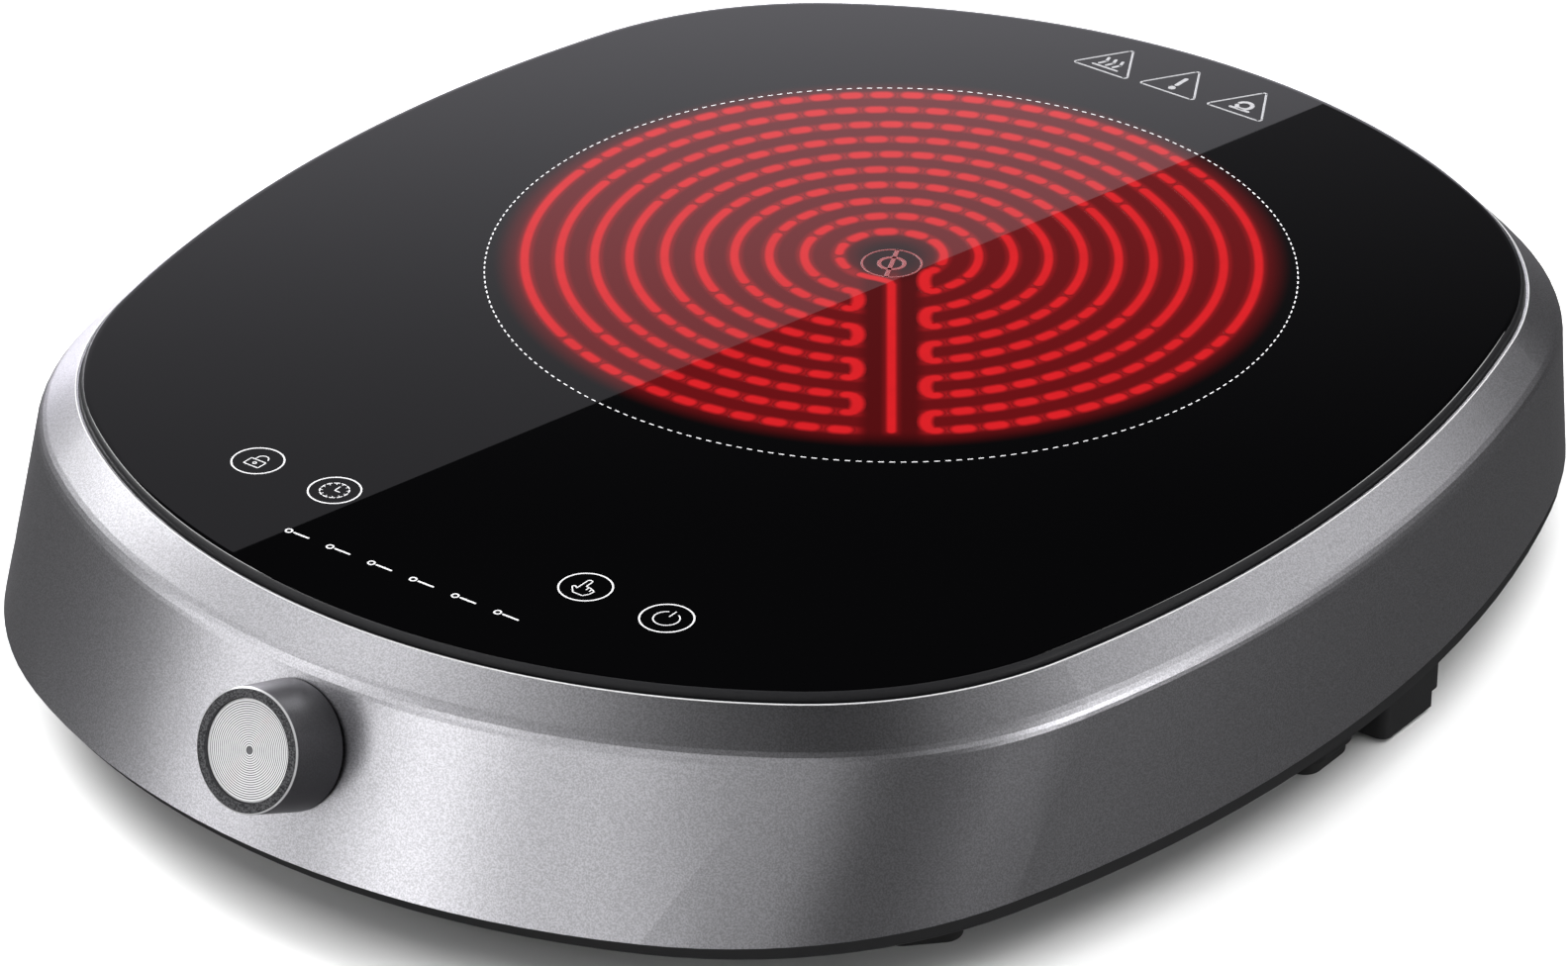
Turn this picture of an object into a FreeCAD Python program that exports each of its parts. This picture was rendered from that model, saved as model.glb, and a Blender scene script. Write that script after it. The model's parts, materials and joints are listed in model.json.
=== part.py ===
import FreeCAD, Part
import math
import os

# Countertop radiant hot plate, in millimetres. +Z is up, the front (knob side) faces -Y, and the
# origin lies on the table under the centre of the whole product's bounding box.

Vec = FreeCAD.Vector
X_AXIS = Vec(1, 0, 0)
Y_AXIS = Vec(0, 1, 0)
Z_AXIS = Vec(0, 0, 1)

# ---- Driving dimensions -------------------------------------------------------------------------

# Flat face of the glass: an oval of eight tangent arcs. A bow is how far a side or an end swells
# beyond the corner circles.
GLASS_HALF_WIDTH = 144.2
GLASS_HALF_DEPTH = 168.9
GLASS_CORNER_RADIUS = 88.1
GLASS_SIDE_BOW = 9.12
GLASS_END_BOW = 14.62
GLASS_THICKNESS = 4.0
GLASS_BEVEL = 1.0
GLASS_BEVEL_HEIGHT = 1.2
GLASS_KNEE = (0.55, 0.36)

# Heights above the table.
FOOT_HEIGHT = 15.5
STRIP_HEIGHT = 4.6
WALL_HEIGHT = 38.9
SHOULDER_HEIGHT = 7.8
GLASS_PROUD = 2.2

# How far each edge of the painted housing stands outside the glass, in X and in Y, and how far its
# own centre sits behind the glass's centre.
LIP_OUT = 2.0
CREASE_OUT_X = 10.8
CREASE_OUT_Y = 10.3
CREASE_SHIFT = -0.55
BOTTOM_OUT_X = 12.2
BOTTOM_OUT_Y = 21.8
BOTTOM_SHIFT = -4.0
BOTTOM_SIDE_BOW = 12.55
BOTTOM_END_BOW = 9.04
CREASE_ROUNDING = 1.8
CREASE_STEPS = 4

# Walls of the two housings.
WALL = 2.8
SHOULDER_WALL = 3.2
LEDGE_THICKNESS = 2.2
LEDGE_INSET = 9.0
SEAL_THICKNESS = 0.5
SEAL_SIDE = 0.4
SEAL_REACH = 6.0
SEAL_DROP = 0.2
FLOOR = 2.5
STRIP_INSET = 0.9
STRIP_INSET_DEPTH = 2.1
STRIP_SHIFT = 1.1
STRIP_CHAMFER = 0.6
UPSTAND_HEIGHT = 7.0
UPSTAND_WALL = 1.8
UPSTAND_GAP = 0.3

# Screws that hold the two housings together: the front and rear pairs by their angle from +X, the
# side pair by how far behind the heater's strap their columns stand.
HOUSING_SCREW_ANGLES = (-56.0, 68.0)
SIDE_SCREW_GAP = 7.4
HOUSING_SCREW_INSET = 3.5
COLUMN_RADIUS = 4.2
RIB_WIDTH = 2.0
RIB_REACH = 16.0
SCREW_RADIUS = 1.5
SCREW_HEAD_RADIUS = 3.2
SCREW_HEAD_HEIGHT = 1.2
SCREW_CLEARANCE = 0.3
THREAD_GAP = 0.05
EMBED = 0.5
HOUSING_SCREW_LENGTH = 13.0
BOARD_SCREW_LENGTH = 5.0

# Feet of the right-hand side: the angle from +X at which each one is seen from the middle, how far
# in from the strip's edge it is, and the direction that its length points in.
FEET = {
    "foot_front_right": (-43.8, 24.0, 46.5),
    "foot_side_right": (1.9, 15.5, 90.0),
    "foot_rear_right": (48.5, 24.8, 133.0),
}
FOOT_BOSS_TOP = (24.0, 14.0)
FOOT_BOSS_END = (20.5, 11.5)
FOOT_BOSS_STEP = 1.5
FOOT_PAD = (18.0, 9.0)
FOOT_PAD_PROUD = 3.6
FOOT_PAD_DEPTH = 1.5
FOOT_PAD_ROUNDING = 0.8

# Knob, on the sloping front wall.
KNOB_HEIGHT = 43.1
KNOB_LENGTH = 15.4
KNOB_GAP = 0.6
KNOB_BACK_RADIUS = 14.4
KNOB_FRONT_RADIUS = 13.7
KNOB_CHAMFER = 0.5
KNOB_DISC_RADIUS = 11.3
KNOB_DISC_GAP = 0.05
KNOB_DISC_THICKNESS = 1.0
KNOB_DISC_DEPTH = 0.9
KNOB_DISH = 0.35
KNOB_CAVITY_RADIUS = 11.8
KNOB_WEB = 3.0
KNOB_SKIN = 1.0
KNOB_HUB_RADIUS = 5.5
KNOB_HUB_START = 4.2
SHAFT_RADIUS = 3.0
SHAFT_GAP = 0.05
SHAFT_FLAT = 1.0
BUSH_RADIUS = 4.5
BUSH_LENGTH = 3.0
BUSH_CLEARANCE = 0.1
NUT_ACROSS = 11.0
NUT_HEIGHT = 2.2
ENCODER_SIDE = 13.0
ENCODER_DEPTH = 6.5
ENCODER_BOARD = (26.0, 22.0, 1.6)
ENCODER_FLOOR = 1.0
ENCODER_PAD = 1.0
ENCODER_PAD_MARGIN = 2.5

# Radiant heater, from the glass's centre.
HEATER_PLACE = (-1.8, 33.4)
DISH_RADIUS = 97.0
DISH_SHEET = 0.6
DISH_HEIGHT = 24.5
DISH_DROP = 1.5
RING_WIDTH = 6.4
INSULATION_THICKNESS = 15.0
COIL_RINGS = 10
COIL_INNER_RADIUS = 12.3
COIL_PITCH = 8.19
COIL_RIBBON = 0.6
COIL_HEIGHT = 3.5
COIL_CHANNEL_HALF = 9.2
COIL_TURN_BULGE = 3.2
COIL_CHANNEL_ANGLE = -53.0
LIMITER_ANGLE = -120.0
LIMITER_RADIUS = 2.0
LIMITER_LENGTH = 150.0
LIMITER_GAP = 0.3
LIMITER_ABOVE_COIL = 1.0
LIMITER_HEAD_OFF_DISH = 1.0
LIMITER_HEAD = (26.0, 14.0, 13.0)
LIMITER_HEAD_DROP = 10.5
LIMITER_SHELF_WIDTH = 14.0
BRACKET_WIDTH = 20.0
BRACKET_SHEET = 1.2
BRACKET_HALF_SPAN = 118.0
BRACKET_POST_X = 111.0
BRACKET_POST_RADIUS = 4.5

# Touch keys, indicators and their board: shares of the glass's half width, and distances back from
# its front edge.
TOUCH_KEY_SHARES = (-0.398, -0.2434, 0.2434, 0.398)
INDICATOR_PITCH_SHARE = 0.0811
CONTROL_BOARD_SHARE = 0.5
TOUCH_KEYS_BACK = 38.8
TOUCH_CONTACT_RADIUS = 5.5
TOUCH_CONTACT_WALL = 1.0
INDICATORS = 6
INDICATORS_BACK = 19.3
INDICATOR_RADIUS = 1.5
INDICATOR_DROP = 1.0
CONTROL_BOARD_BACK = 11.4
CONTROL_BOARD_DEPTH = 44.5
CONTROL_BOARD_DROP = 6.8
BOARD_THICKNESS = 1.6
POST_RADIUS = 3.0
BUZZER_RADIUS = 6.0
BUZZER_HEIGHT = 5.0
SENSOR_ANGLE = 28.0
SENSOR_INSET = 18.0
SENSOR_RADIUS = 3.5
SENSOR_HEIGHT = 5.0
SENSOR_SPRING_RADIUS = 2.6
SENSOR_SPRING_WIRE = 0.6
SENSOR_SPRING_HEIGHT = 12.0
SENSOR_SPRING_PITCH = 3.0

# Power board, on stand-offs on the floor behind the control board. Spots on it are shares of its
# width and depth.
POWER_BOARD_X = (-25.0, 95.0)
POWER_BOARD_DEPTH = 60.0
BOARDS_APART = 4.0
POWER_BOARD_LIFT = 5.0
BOARD_HOLE_INSET = 5.0
HEAT_SINK_SPOT = (0.24, 0.3)
TRANSFORMER_SPOT = (0.55, 0.26)
FILTER_CAPACITOR_SPOT = (0.82, 0.2)
RELAY_SPOT = (0.84, 0.48)
CAN_SPOT = (0.56, 0.56)
FUSE_SPOT = (0.5, 0.84)
HEAT_SINK = (34.0, 20.0, 26.0)
HEAT_SINK_FINS = 6
HEAT_SINK_FIN = 1.5
HEAT_SINK_BASE = 4.0
TRIAC = (10.0, 4.5, 16.0)
TRANSFORMER = (28.0, 12.0, 20.0)
WINDING = (17.0, 22.0, 14.0)
FILTER_CAPACITOR = (18.0, 9.0, 14.0)
RELAY = (20.0, 16.0, 15.0)
FUSE_RADIUS = 2.6
FUSE_LENGTH = 20.0
FUSE_CAP = 5.0
FUSE_CAP_SHEET = 0.3
CAN_RADIUS = 5.0
CAN_HEIGHT = 12.0
TERMINAL_BLOCK = (12.0, 30.0, 14.0)
TERMINAL_BLOCK_PLACE = (118.0, -12.0)
TERMINAL_WAYS = 3
TERMINAL_HOLE_RADIUS = 2.4

# Cooling fan, under the front left of the housing, over slots in the floor.
FAN_PLACE_X = -78.0
FAN_UNDER_BOARD = 1.0
FAN_SIDE = 60.0
FAN_HEIGHT = 15.0
FAN_BORE_RADIUS = 28.8
FAN_TIP_GAP = 0.8
FAN_HUB_RADIUS = 12.5
FAN_HUB_WALL = 1.5
FAN_BLADES = 7
FAN_BLADE = 1.2
FAN_BLADE_TILT = 38.0
FAN_BLADE_HEIGHT = 11.0
FAN_PLATE = 2.5
FAN_STRUTS = 3
FAN_STRUT_WIDTH = 4.0
FAN_LIFT = 1.0
FAN_SHAFT_RADIUS = 1.5
FAN_SHAFT_GAP = 0.03
FAN_BEARING_RADIUS = 3.5
FAN_STATOR_RADIUS = 10.0
FAN_HOLE_PITCH = 50.0
FAN_CORNER = 4.0

# Slots in the floor: how many, length, pitch. The exhaust row is measured from the glass's rear edge.
INTAKE_SLOTS = (7, 44.0, 7.0)
EXHAUST_SLOTS = (9, 18.0, 8.0)
EXHAUST_FROM_REAR = 30.0
SLOT_WIDTH = 3.0

# Cord outlet, under the right edge.
GLAND_INSET = 12.5
GLAND_Y = (15.3, 38.8)
GLAND_WIDTH = 14.0
GLAND_LIFT = 1.2
GLAND_BORE_RADIUS = 3.1
GLAND_BORE_LENGTH = 16.0
GLAND_RISER = 6.6
GLAND_BORE_HEIGHT = 8.4
GLAND_ROUNDING = 4.0
GLAND_CORNER = 2.5
GLAND_NECK = (10.0, 12.0)
GLAND_NECK_HEIGHT = 4.5
GLAND_NECK_GAP = 0.1

# ---- Heights worked out from the sizes above ----------------------------------------------------

FLOOR_BOTTOM = FOOT_HEIGHT
FLOOR_TOP = FLOOR_BOTTOM + FLOOR
WALL_BOTTOM = FLOOR_BOTTOM + STRIP_HEIGHT
CREASE_Z = WALL_BOTTOM + WALL_HEIGHT
LIP_Z = CREASE_Z + SHOULDER_HEIGHT
GLASS_TOP = LIP_Z + GLASS_PROUD
GLASS_BOTTOM = GLASS_TOP - GLASS_THICKNESS
LEDGE_TOP = GLASS_BOTTOM - SEAL_THICKNESS
LEDGE_BOTTOM = LEDGE_TOP - LEDGE_THICKNESS

# The front wall leans back: its slope, and the point on it that the knob's axis passes through.
FRONT_RUN = (BOTTOM_OUT_Y - BOTTOM_SHIFT) - (CREASE_OUT_Y - CREASE_SHIFT)
FRONT_LEAN = math.atan2(FRONT_RUN, WALL_HEIGHT)
FRONT_BOTTOM = -(GLASS_HALF_DEPTH + BOTTOM_OUT_Y) + BOTTOM_SHIFT
KNOB_WALL_Y = FRONT_BOTTOM + (KNOB_HEIGHT - WALL_BOTTOM) * math.tan(FRONT_LEAN)

# The product's depth runs from the knob's face to the back of the wall; the glass's centre is placed
# so that the middle of that depth is Y = 0.
FOREMOST = (KNOB_WALL_Y - KNOB_LENGTH * math.cos(FRONT_LEAN)
            - (KNOB_FRONT_RADIUS - KNOB_CHAMFER) * math.sin(FRONT_LEAN))
REARMOST = GLASS_HALF_DEPTH + BOTTOM_OUT_Y + BOTTOM_SHIFT
GLASS_Y = -(FOREMOST + REARMOST) / 2


# ---- Basic shapes -------------------------------------------------------------------------------

def place(x, y):
    """A place given from the glass's centre, in the product's frame."""
    return x, GLASS_Y + y


def cylinder(x, y, z0, z1, radius):
    return Part.makeCylinder(radius, z1 - z0, Vec(x, y, z0), Z_AXIS)


def tube(x, y, z0, z1, outer, inner):
    return cylinder(x, y, z0, z1, outer).cut(cylinder(x, y, z0 - 1, z1 + 1, inner))


def box(x0, x1, y0, y1, z0, z1):
    return Part.makeBox(x1 - x0, y1 - y0, z1 - z0, Vec(x0, y0, z0))


def centred_box(x, y, z0, size):
    """A box of the given (x, y, z) size, centred on (x, y) and standing on z0."""
    return box(x - size[0] / 2, x + size[0] / 2, y - size[1] / 2, y + size[1] / 2, z0, z0 + size[2])


def turned(shape, x, y, angle):
    """The shape turned by an angle about the vertical line through (x, y)."""
    shape.rotate(Vec(x, y, 0), Z_AXIS, angle)
    return shape


def fuse(shapes):
    """One solid from several that meet."""
    whole = shapes[0].fuse(shapes[1:]) if len(shapes) > 1 else shapes[0]
    return whole.removeSplitter()


def stadium(length, width, z):
    """A slot-shaped wire at the origin, its length along X."""
    half = (length - width) / 2
    r = width / 2
    corners = [Vec(half, -r, z), Vec(half, r, z), Vec(-half, r, z), Vec(-half, -r, z)]
    return Part.Wire([
        Part.Arc(corners[0], Vec(half + r, 0, z), corners[1]).toShape(),
        Part.makeLine(corners[1], corners[2]),
        Part.Arc(corners[2], Vec(-half - r, 0, z), corners[3]).toShape(),
        Part.makeLine(corners[3], corners[0]),
    ])


def stadium_prism(length, width, z0, z1):
    return Part.Face(stadium(length, width, z0)).extrude(Vec(0, 0, z1 - z0))


def direction(angle):
    """The level unit vector at an angle in degrees from +X."""
    return Vec(math.cos(math.radians(angle)), math.sin(math.radians(angle)), 0)


def moved(shape, x, y, angle=0.0):
    """The shape turned about the origin's vertical and then carried to (x, y)."""
    shape.rotate(Vec(0, 0, 0), Z_AXIS, angle)
    shape.translate(Vec(x, y, 0))
    return shape


def screw(x, y, head_z, length):
    """A pan-head screw that points down from the top of a board or strap at head_z."""
    head = cylinder(x, y, head_z, head_z + SCREW_HEAD_HEIGHT, SCREW_HEAD_RADIUS)
    return head.fuse(cylinder(x, y, head_z - length, head_z, SCREW_RADIUS)).removeSplitter()


def drilled(shape, places, z0, z1, radius):
    """The shape with a round vertical hole at each place."""
    return shape.cut([cylinder(x, y, z0, z1, radius) for x, y in places])


class Oval:
    """A plan outline of eight tangent arcs: two sides, two ends and four corners."""

    def __init__(self, half_width, half_depth, corner_r, side_bow, end_bow, y):
        self.sizes = (half_width, half_depth, corner_r, side_bow, end_bow)
        self.y = y

    def grown(self, out_x, out_y=None, shift=0.0, bows=None):
        """The outline moved outward, by the same amount all round unless out_y differs."""
        out_y = out_x if out_y is None else out_y
        half_width, half_depth, corner_r, side_bow, end_bow = self.sizes
        side_bow, end_bow = bows or (side_bow, end_bow)
        return Oval(half_width + out_x, half_depth + out_y, corner_r + (out_x + out_y) / 2,
                    side_bow, end_bow, self.y + shift)

    def quarter(self):
        """The end points of the corner arc in the +X, +Y quarter, and that arc's middle."""
        half_width, half_depth, corner_r, side_bow, end_bow = self.sizes
        corner = Vec(half_width - corner_r - side_bow, half_depth - corner_r - end_bow, 0)
        side_r = (corner.y ** 2 + 2 * corner_r * side_bow + side_bow ** 2) / (2 * side_bow)
        end_r = (corner.x ** 2 + 2 * corner_r * end_bow + end_bow ** 2) / (2 * end_bow)
        side = Vec(half_width - side_r, 0, 0)
        end = Vec(0, half_depth - end_r, 0)
        start = side + (corner - side).normalize() * side_r
        finish = end + (corner - end).normalize() * end_r
        middle = corner + ((start + finish) * 0.5 - corner).normalize() * corner_r
        return start, middle, finish

    def wire(self, z):
        half_width, half_depth = self.sizes[:2]
        start, middle, finish = self.quarter()

        def at(point, sign_x, sign_y):
            return Vec(point.x * sign_x, point.y * sign_y + self.y, z)

        side = Vec(half_width, 0, 0)
        end = Vec(0, half_depth, 0)
        arcs = [
            (at(start, 1, -1), at(side, 1, 1), at(start, 1, 1)),
            (at(start, 1, 1), at(middle, 1, 1), at(finish, 1, 1)),
            (at(finish, 1, 1), at(end, 1, 1), at(finish, -1, 1)),
            (at(finish, -1, 1), at(middle, -1, 1), at(start, -1, 1)),
            (at(start, -1, 1), at(side, -1, 1), at(start, -1, -1)),
            (at(start, -1, -1), at(middle, -1, -1), at(finish, -1, -1)),
            (at(finish, -1, -1), at(end, 1, -1), at(finish, 1, -1)),
            (at(finish, 1, -1), at(middle, 1, -1), at(start, 1, -1)),
        ]
        return Part.Wire([Part.Arc(*points).toShape() for points in arcs])

    def slab(self, z0, z1):
        return Part.Face(self.wire(z0)).extrude(Vec(0, 0, z1 - z0))

    def point(self, angle):
        """Where a ray from the outline's centre, at an angle in degrees from +X, meets it."""
        centre = Vec(0, self.y, 0)
        ray = Part.makeLine(centre, centre + direction(angle) * 2 * sum(self.sizes[:2]))
        return ray.distToShape(self.wire(0))[1][0][0]

    def beside(self, y):
        """Where the outline's +X side crosses a given y."""
        across = Part.makeLine(Vec(0, y, 0), Vec(2 * self.sizes[0], y, 0))
        return across.distToShape(self.wire(0))[1][0][0]


def loft(sections):
    """A closed solid through (outline, height) pairs, straight between each two."""
    return Part.makeLoft([outline.wire(z) for outline, z in sections], True, True)


GLASS = Oval(GLASS_HALF_WIDTH, GLASS_HALF_DEPTH, GLASS_CORNER_RADIUS, GLASS_SIDE_BOW, GLASS_END_BOW,
             GLASS_Y)

# The painted skin's three edges: outset in X, outset in Y, shift in Y, side bow, end bow, height.
BOTTOM_EDGE = (BOTTOM_OUT_X, BOTTOM_OUT_Y, BOTTOM_SHIFT, BOTTOM_SIDE_BOW, BOTTOM_END_BOW, WALL_BOTTOM)
CREASE_EDGE = (CREASE_OUT_X, CREASE_OUT_Y, CREASE_SHIFT, GLASS_SIDE_BOW, GLASS_END_BOW, CREASE_Z)
LIP_EDGE = (LIP_OUT, LIP_OUT, 0.0, GLASS_SIDE_BOW, GLASS_END_BOW, LIP_Z)


def between(low, high, share):
    """The edge that lies a share of the way from one edge of the skin to another."""
    return tuple(a + (b - a) * share for a, b in zip(low, high))


def edge_at(z):
    """The skin's edge at a height, crease rounding left out."""
    if z <= CREASE_Z:
        return between(BOTTOM_EDGE, CREASE_EDGE, (z - WALL_BOTTOM) / WALL_HEIGHT)
    return between(CREASE_EDGE, LIP_EDGE, (z - CREASE_Z) / SHOULDER_HEIGHT)


def outline_of(edge, inset=0.0):
    out_x, out_y, shift, side_bow, end_bow, z = edge
    return GLASS.grown(out_x - inset, out_y - inset, shift, (side_bow, end_bow)), z


def skin():
    """The painted housing's outer shape, its crease rounded by a row of narrow bands."""
    low = between(CREASE_EDGE, BOTTOM_EDGE, CREASE_ROUNDING / WALL_HEIGHT)
    high = between(CREASE_EDGE, LIP_EDGE, CREASE_ROUNDING / SHOULDER_HEIGHT)
    bands = [BOTTOM_EDGE]
    for step in range(CREASE_STEPS + 1):
        share = step / CREASE_STEPS
        bands.append(between(between(low, CREASE_EDGE, share), between(CREASE_EDGE, high, share), share))
    bands.append(LIP_EDGE)
    return loft([outline_of(edge) for edge in bands])


# ---- Places shared by several pieces ------------------------------------------------------------

HEATER_X, HEATER_Y = place(*HEATER_PLACE)
DISH_TOP = GLASS_BOTTOM - DISH_DROP
DISH_BOTTOM = DISH_TOP - DISH_HEIGHT
BRACKET_BOTTOM = DISH_BOTTOM - BRACKET_SHEET
COIL_Z = DISH_BOTTOM + DISH_SHEET + INSULATION_THICKNESS
LIMITER_Z = COIL_Z + COIL_HEIGHT + LIMITER_RADIUS + LIMITER_ABOVE_COIL
CONTROL_TOP = GLASS_BOTTOM - CONTROL_BOARD_DROP
CONTROL_BOTTOM = CONTROL_TOP - BOARD_THICKNESS
POWER_BOTTOM = FLOOR_TOP + POWER_BOARD_LIFT
POWER_TOP = POWER_BOTTOM + BOARD_THICKNESS
GLASS_FRONT = GLASS_Y - GLASS_HALF_DEPTH
FAN_X = FAN_PLACE_X
FAN_Y = GLASS_FRONT + CONTROL_BOARD_BACK + CONTROL_BOARD_DEPTH + FAN_SIDE / 2 - FAN_UNDER_BOARD
FAN_TOP = FLOOR_TOP + FAN_HEIGHT
LIMITER_HEAD_Z = LIMITER_Z - LIMITER_HEAD_DROP
GLAND_X = GLASS_HALF_WIDTH + BOTTOM_OUT_X - STRIP_INSET - GLAND_INSET


def rectangle_places(x_range, y_range, inset):
    """The four places an inset in from the corners of a rectangle."""
    return [(x, y) for x in (x_range[0] + inset, x_range[1] - inset)
            for y in (y_range[0] + inset, y_range[1] - inset)]


TOUCH_KEYS_X = [share * GLASS_HALF_WIDTH for share in TOUCH_KEY_SHARES]
INDICATOR_PITCH = INDICATOR_PITCH_SHARE * GLASS_HALF_WIDTH
CONTROL_X = (-CONTROL_BOARD_SHARE * GLASS_HALF_WIDTH, CONTROL_BOARD_SHARE * GLASS_HALF_WIDTH)
CONTROL_Y = (GLASS_FRONT + CONTROL_BOARD_BACK, GLASS_FRONT + CONTROL_BOARD_BACK + CONTROL_BOARD_DEPTH)
POWER_Y = (CONTROL_Y[1] + BOARDS_APART, CONTROL_Y[1] + BOARDS_APART + POWER_BOARD_DEPTH)
POWER_HOLES = rectangle_places(POWER_BOARD_X, POWER_Y, BOARD_HOLE_INSET)
CONTROL_HOLES = rectangle_places(CONTROL_X, CONTROL_Y, BOARD_HOLE_INSET)
BRACKET_HOLES = [(HEATER_X - BRACKET_POST_X, HEATER_Y), (HEATER_X + BRACKET_POST_X, HEATER_Y)]
FAN_HOLES = [(FAN_X + sx * FAN_HOLE_PITCH / 2, FAN_Y + sy * FAN_HOLE_PITCH / 2)
             for sx in (-1, 1) for sy in (-1, 1)]


def housing_screws():
    """Each housing screw's place, with the angle at which its column is seen from the middle."""
    line = GLASS.grown(-HOUSING_SCREW_INSET)
    right = [line.point(angle) for angle in HOUSING_SCREW_ANGLES]
    right.append(line.beside(HEATER_Y + BRACKET_WIDTH / 2 + COLUMN_RADIUS + SIDE_SCREW_GAP))
    places = []
    for point in right:
        angle = math.degrees(math.atan2(point.y - GLASS_Y, point.x))
        places += [(point.x, point.y, angle), (-point.x, point.y, 180 - angle)]
    return places


HOUSING_SCREWS = housing_screws()
SENSOR_POINT = GLASS.grown(-SENSOR_INSET).point(SENSOR_ANGLE)
SENSOR_X, SENSOR_Y = SENSOR_POINT.x, SENSOR_POINT.y


# ---- Knob: shapes are made about +Z with the wall's surface at 0, then leaned into place ---------

KNOB_PLACEMENT = FreeCAD.Placement(
    Vec(0, GLASS_Y + KNOB_WALL_Y, KNOB_HEIGHT),
    FreeCAD.Rotation(X_AXIS, 90 - math.degrees(FRONT_LEAN)))
ENCODER_FACE = -WALL * math.cos(FRONT_LEAN) - ENCODER_PAD
DISC_SEAT = KNOB_LENGTH - KNOB_DISC_DEPTH - KNOB_DISC_THICKNESS
SHAFT_END = DISC_SEAT - KNOB_SKIN
FLAT_START = KNOB_HUB_START - 1.0


def on_knob_axis(shape):
    shape.Placement = KNOB_PLACEMENT.multiply(shape.Placement)
    return shape


def knob_shell():
    rim = KNOB_LENGTH - KNOB_CHAMFER
    outside = Part.makeCone(KNOB_BACK_RADIUS, KNOB_FRONT_RADIUS, rim - KNOB_GAP, Vec(0, 0, KNOB_GAP))
    outside = outside.fuse(Part.makeCone(KNOB_FRONT_RADIUS, KNOB_FRONT_RADIUS - KNOB_CHAMFER,
                                         KNOB_CHAMFER, Vec(0, 0, rim)))
    web_bottom = DISC_SEAT - KNOB_WEB
    cavity = cylinder(0, 0, 0, web_bottom, KNOB_CAVITY_RADIUS)
    hub = cylinder(0, 0, KNOB_HUB_START, web_bottom, KNOB_HUB_RADIUS)
    recess = cylinder(0, 0, DISC_SEAT, KNOB_LENGTH + 1, KNOB_DISC_RADIUS + KNOB_DISC_GAP)
    shell = outside.cut([cavity.cut(hub), recess, shaft_body(FLAT_START, SHAFT_END)])
    return on_knob_axis(shell.removeSplitter())


def shaft_body(z0, z1):
    """A round shaft with a flat on one side, as a knob grips it."""
    flat = box(SHAFT_RADIUS - SHAFT_FLAT, SHAFT_RADIUS + 1, -SHAFT_RADIUS - 1, SHAFT_RADIUS + 1,
               z0 - 1, z1 + 1)
    return cylinder(0, 0, z0, z1, SHAFT_RADIUS).cut(flat)


def knob_disc():
    """The spun-metal insert, very slightly dished."""
    front = DISC_SEAT + KNOB_DISC_THICKNESS
    ball = (KNOB_DISC_RADIUS ** 2 + KNOB_DISH ** 2) / (2 * KNOB_DISH)
    dish = Part.makeSphere(ball, Vec(0, 0, front - KNOB_DISH + ball))
    return on_knob_axis(cylinder(0, 0, DISC_SEAT, front, KNOB_DISC_RADIUS).cut(dish))


def encoder_shaft():
    inside = ENCODER_FACE - ENCODER_DEPTH + ENCODER_FLOOR
    round_part = cylinder(0, 0, inside, FLAT_START, SHAFT_RADIUS)
    return on_knob_axis(fuse([round_part, shaft_body(FLAT_START, SHAFT_END)]))


def encoder_body():
    case = centred_box(0, 0, ENCODER_FACE - ENCODER_DEPTH, (ENCODER_SIDE, ENCODER_SIDE, ENCODER_DEPTH))
    bush = cylinder(0, 0, ENCODER_FACE, BUSH_LENGTH, BUSH_RADIUS)
    bore = cylinder(0, 0, ENCODER_FACE - ENCODER_DEPTH + ENCODER_FLOOR - SHAFT_GAP, BUSH_LENGTH + 1,
                    SHAFT_RADIUS + SHAFT_GAP)
    return on_knob_axis(fuse([case, bush]).cut(bore))


def encoder_nut():
    across_corners = NUT_ACROSS / math.cos(math.radians(30))
    corners = [Vec(across_corners / 2 * math.cos(math.radians(60 * n)),
                   across_corners / 2 * math.sin(math.radians(60 * n)), 0) for n in range(7)]
    nut = Part.Face(Part.makePolygon(corners)).extrude(Vec(0, 0, NUT_HEIGHT))
    return on_knob_axis(nut.cut(cylinder(0, 0, -1, NUT_HEIGHT + 1, BUSH_RADIUS + THREAD_GAP)))


def encoder_board():
    return on_knob_axis(centred_box(0, 0, ENCODER_FACE - ENCODER_DEPTH - ENCODER_BOARD[2], ENCODER_BOARD))


def wall_pad():
    """The flat pad inside the sloping wall that the encoder is drawn up against."""
    side = ENCODER_SIDE + 2 * ENCODER_PAD_MARGIN
    return on_knob_axis(centred_box(0, 0, ENCODER_FACE, (side, side, -ENCODER_FACE - EMBED)))


def bush_hole():
    return on_knob_axis(cylinder(0, 0, ENCODER_FACE - 1, 2, BUSH_RADIUS + BUSH_CLEARANCE))


# ---- Glass, seal and housings -------------------------------------------------------------------

def glass_top():
    body = GLASS.grown(GLASS_BEVEL)
    knee = (GLASS.grown(GLASS_KNEE[0]), GLASS_TOP - GLASS_KNEE[1])
    return loft([(body, GLASS_BOTTOM), (body, GLASS_TOP - GLASS_BEVEL_HEIGHT), knee, (GLASS, GLASS_TOP)])


def glass_seal():
    pocket = GLASS.grown(GLASS_BEVEL + SEAL_SIDE)
    outside = pocket.slab(LEDGE_TOP, LIP_Z - SEAL_DROP)
    glass = GLASS.grown(GLASS_BEVEL).slab(GLASS_BOTTOM, GLASS_TOP)
    window = GLASS.grown(-SEAL_REACH).slab(LEDGE_TOP - 1, GLASS_TOP)
    return outside.cut([glass, window])


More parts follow.
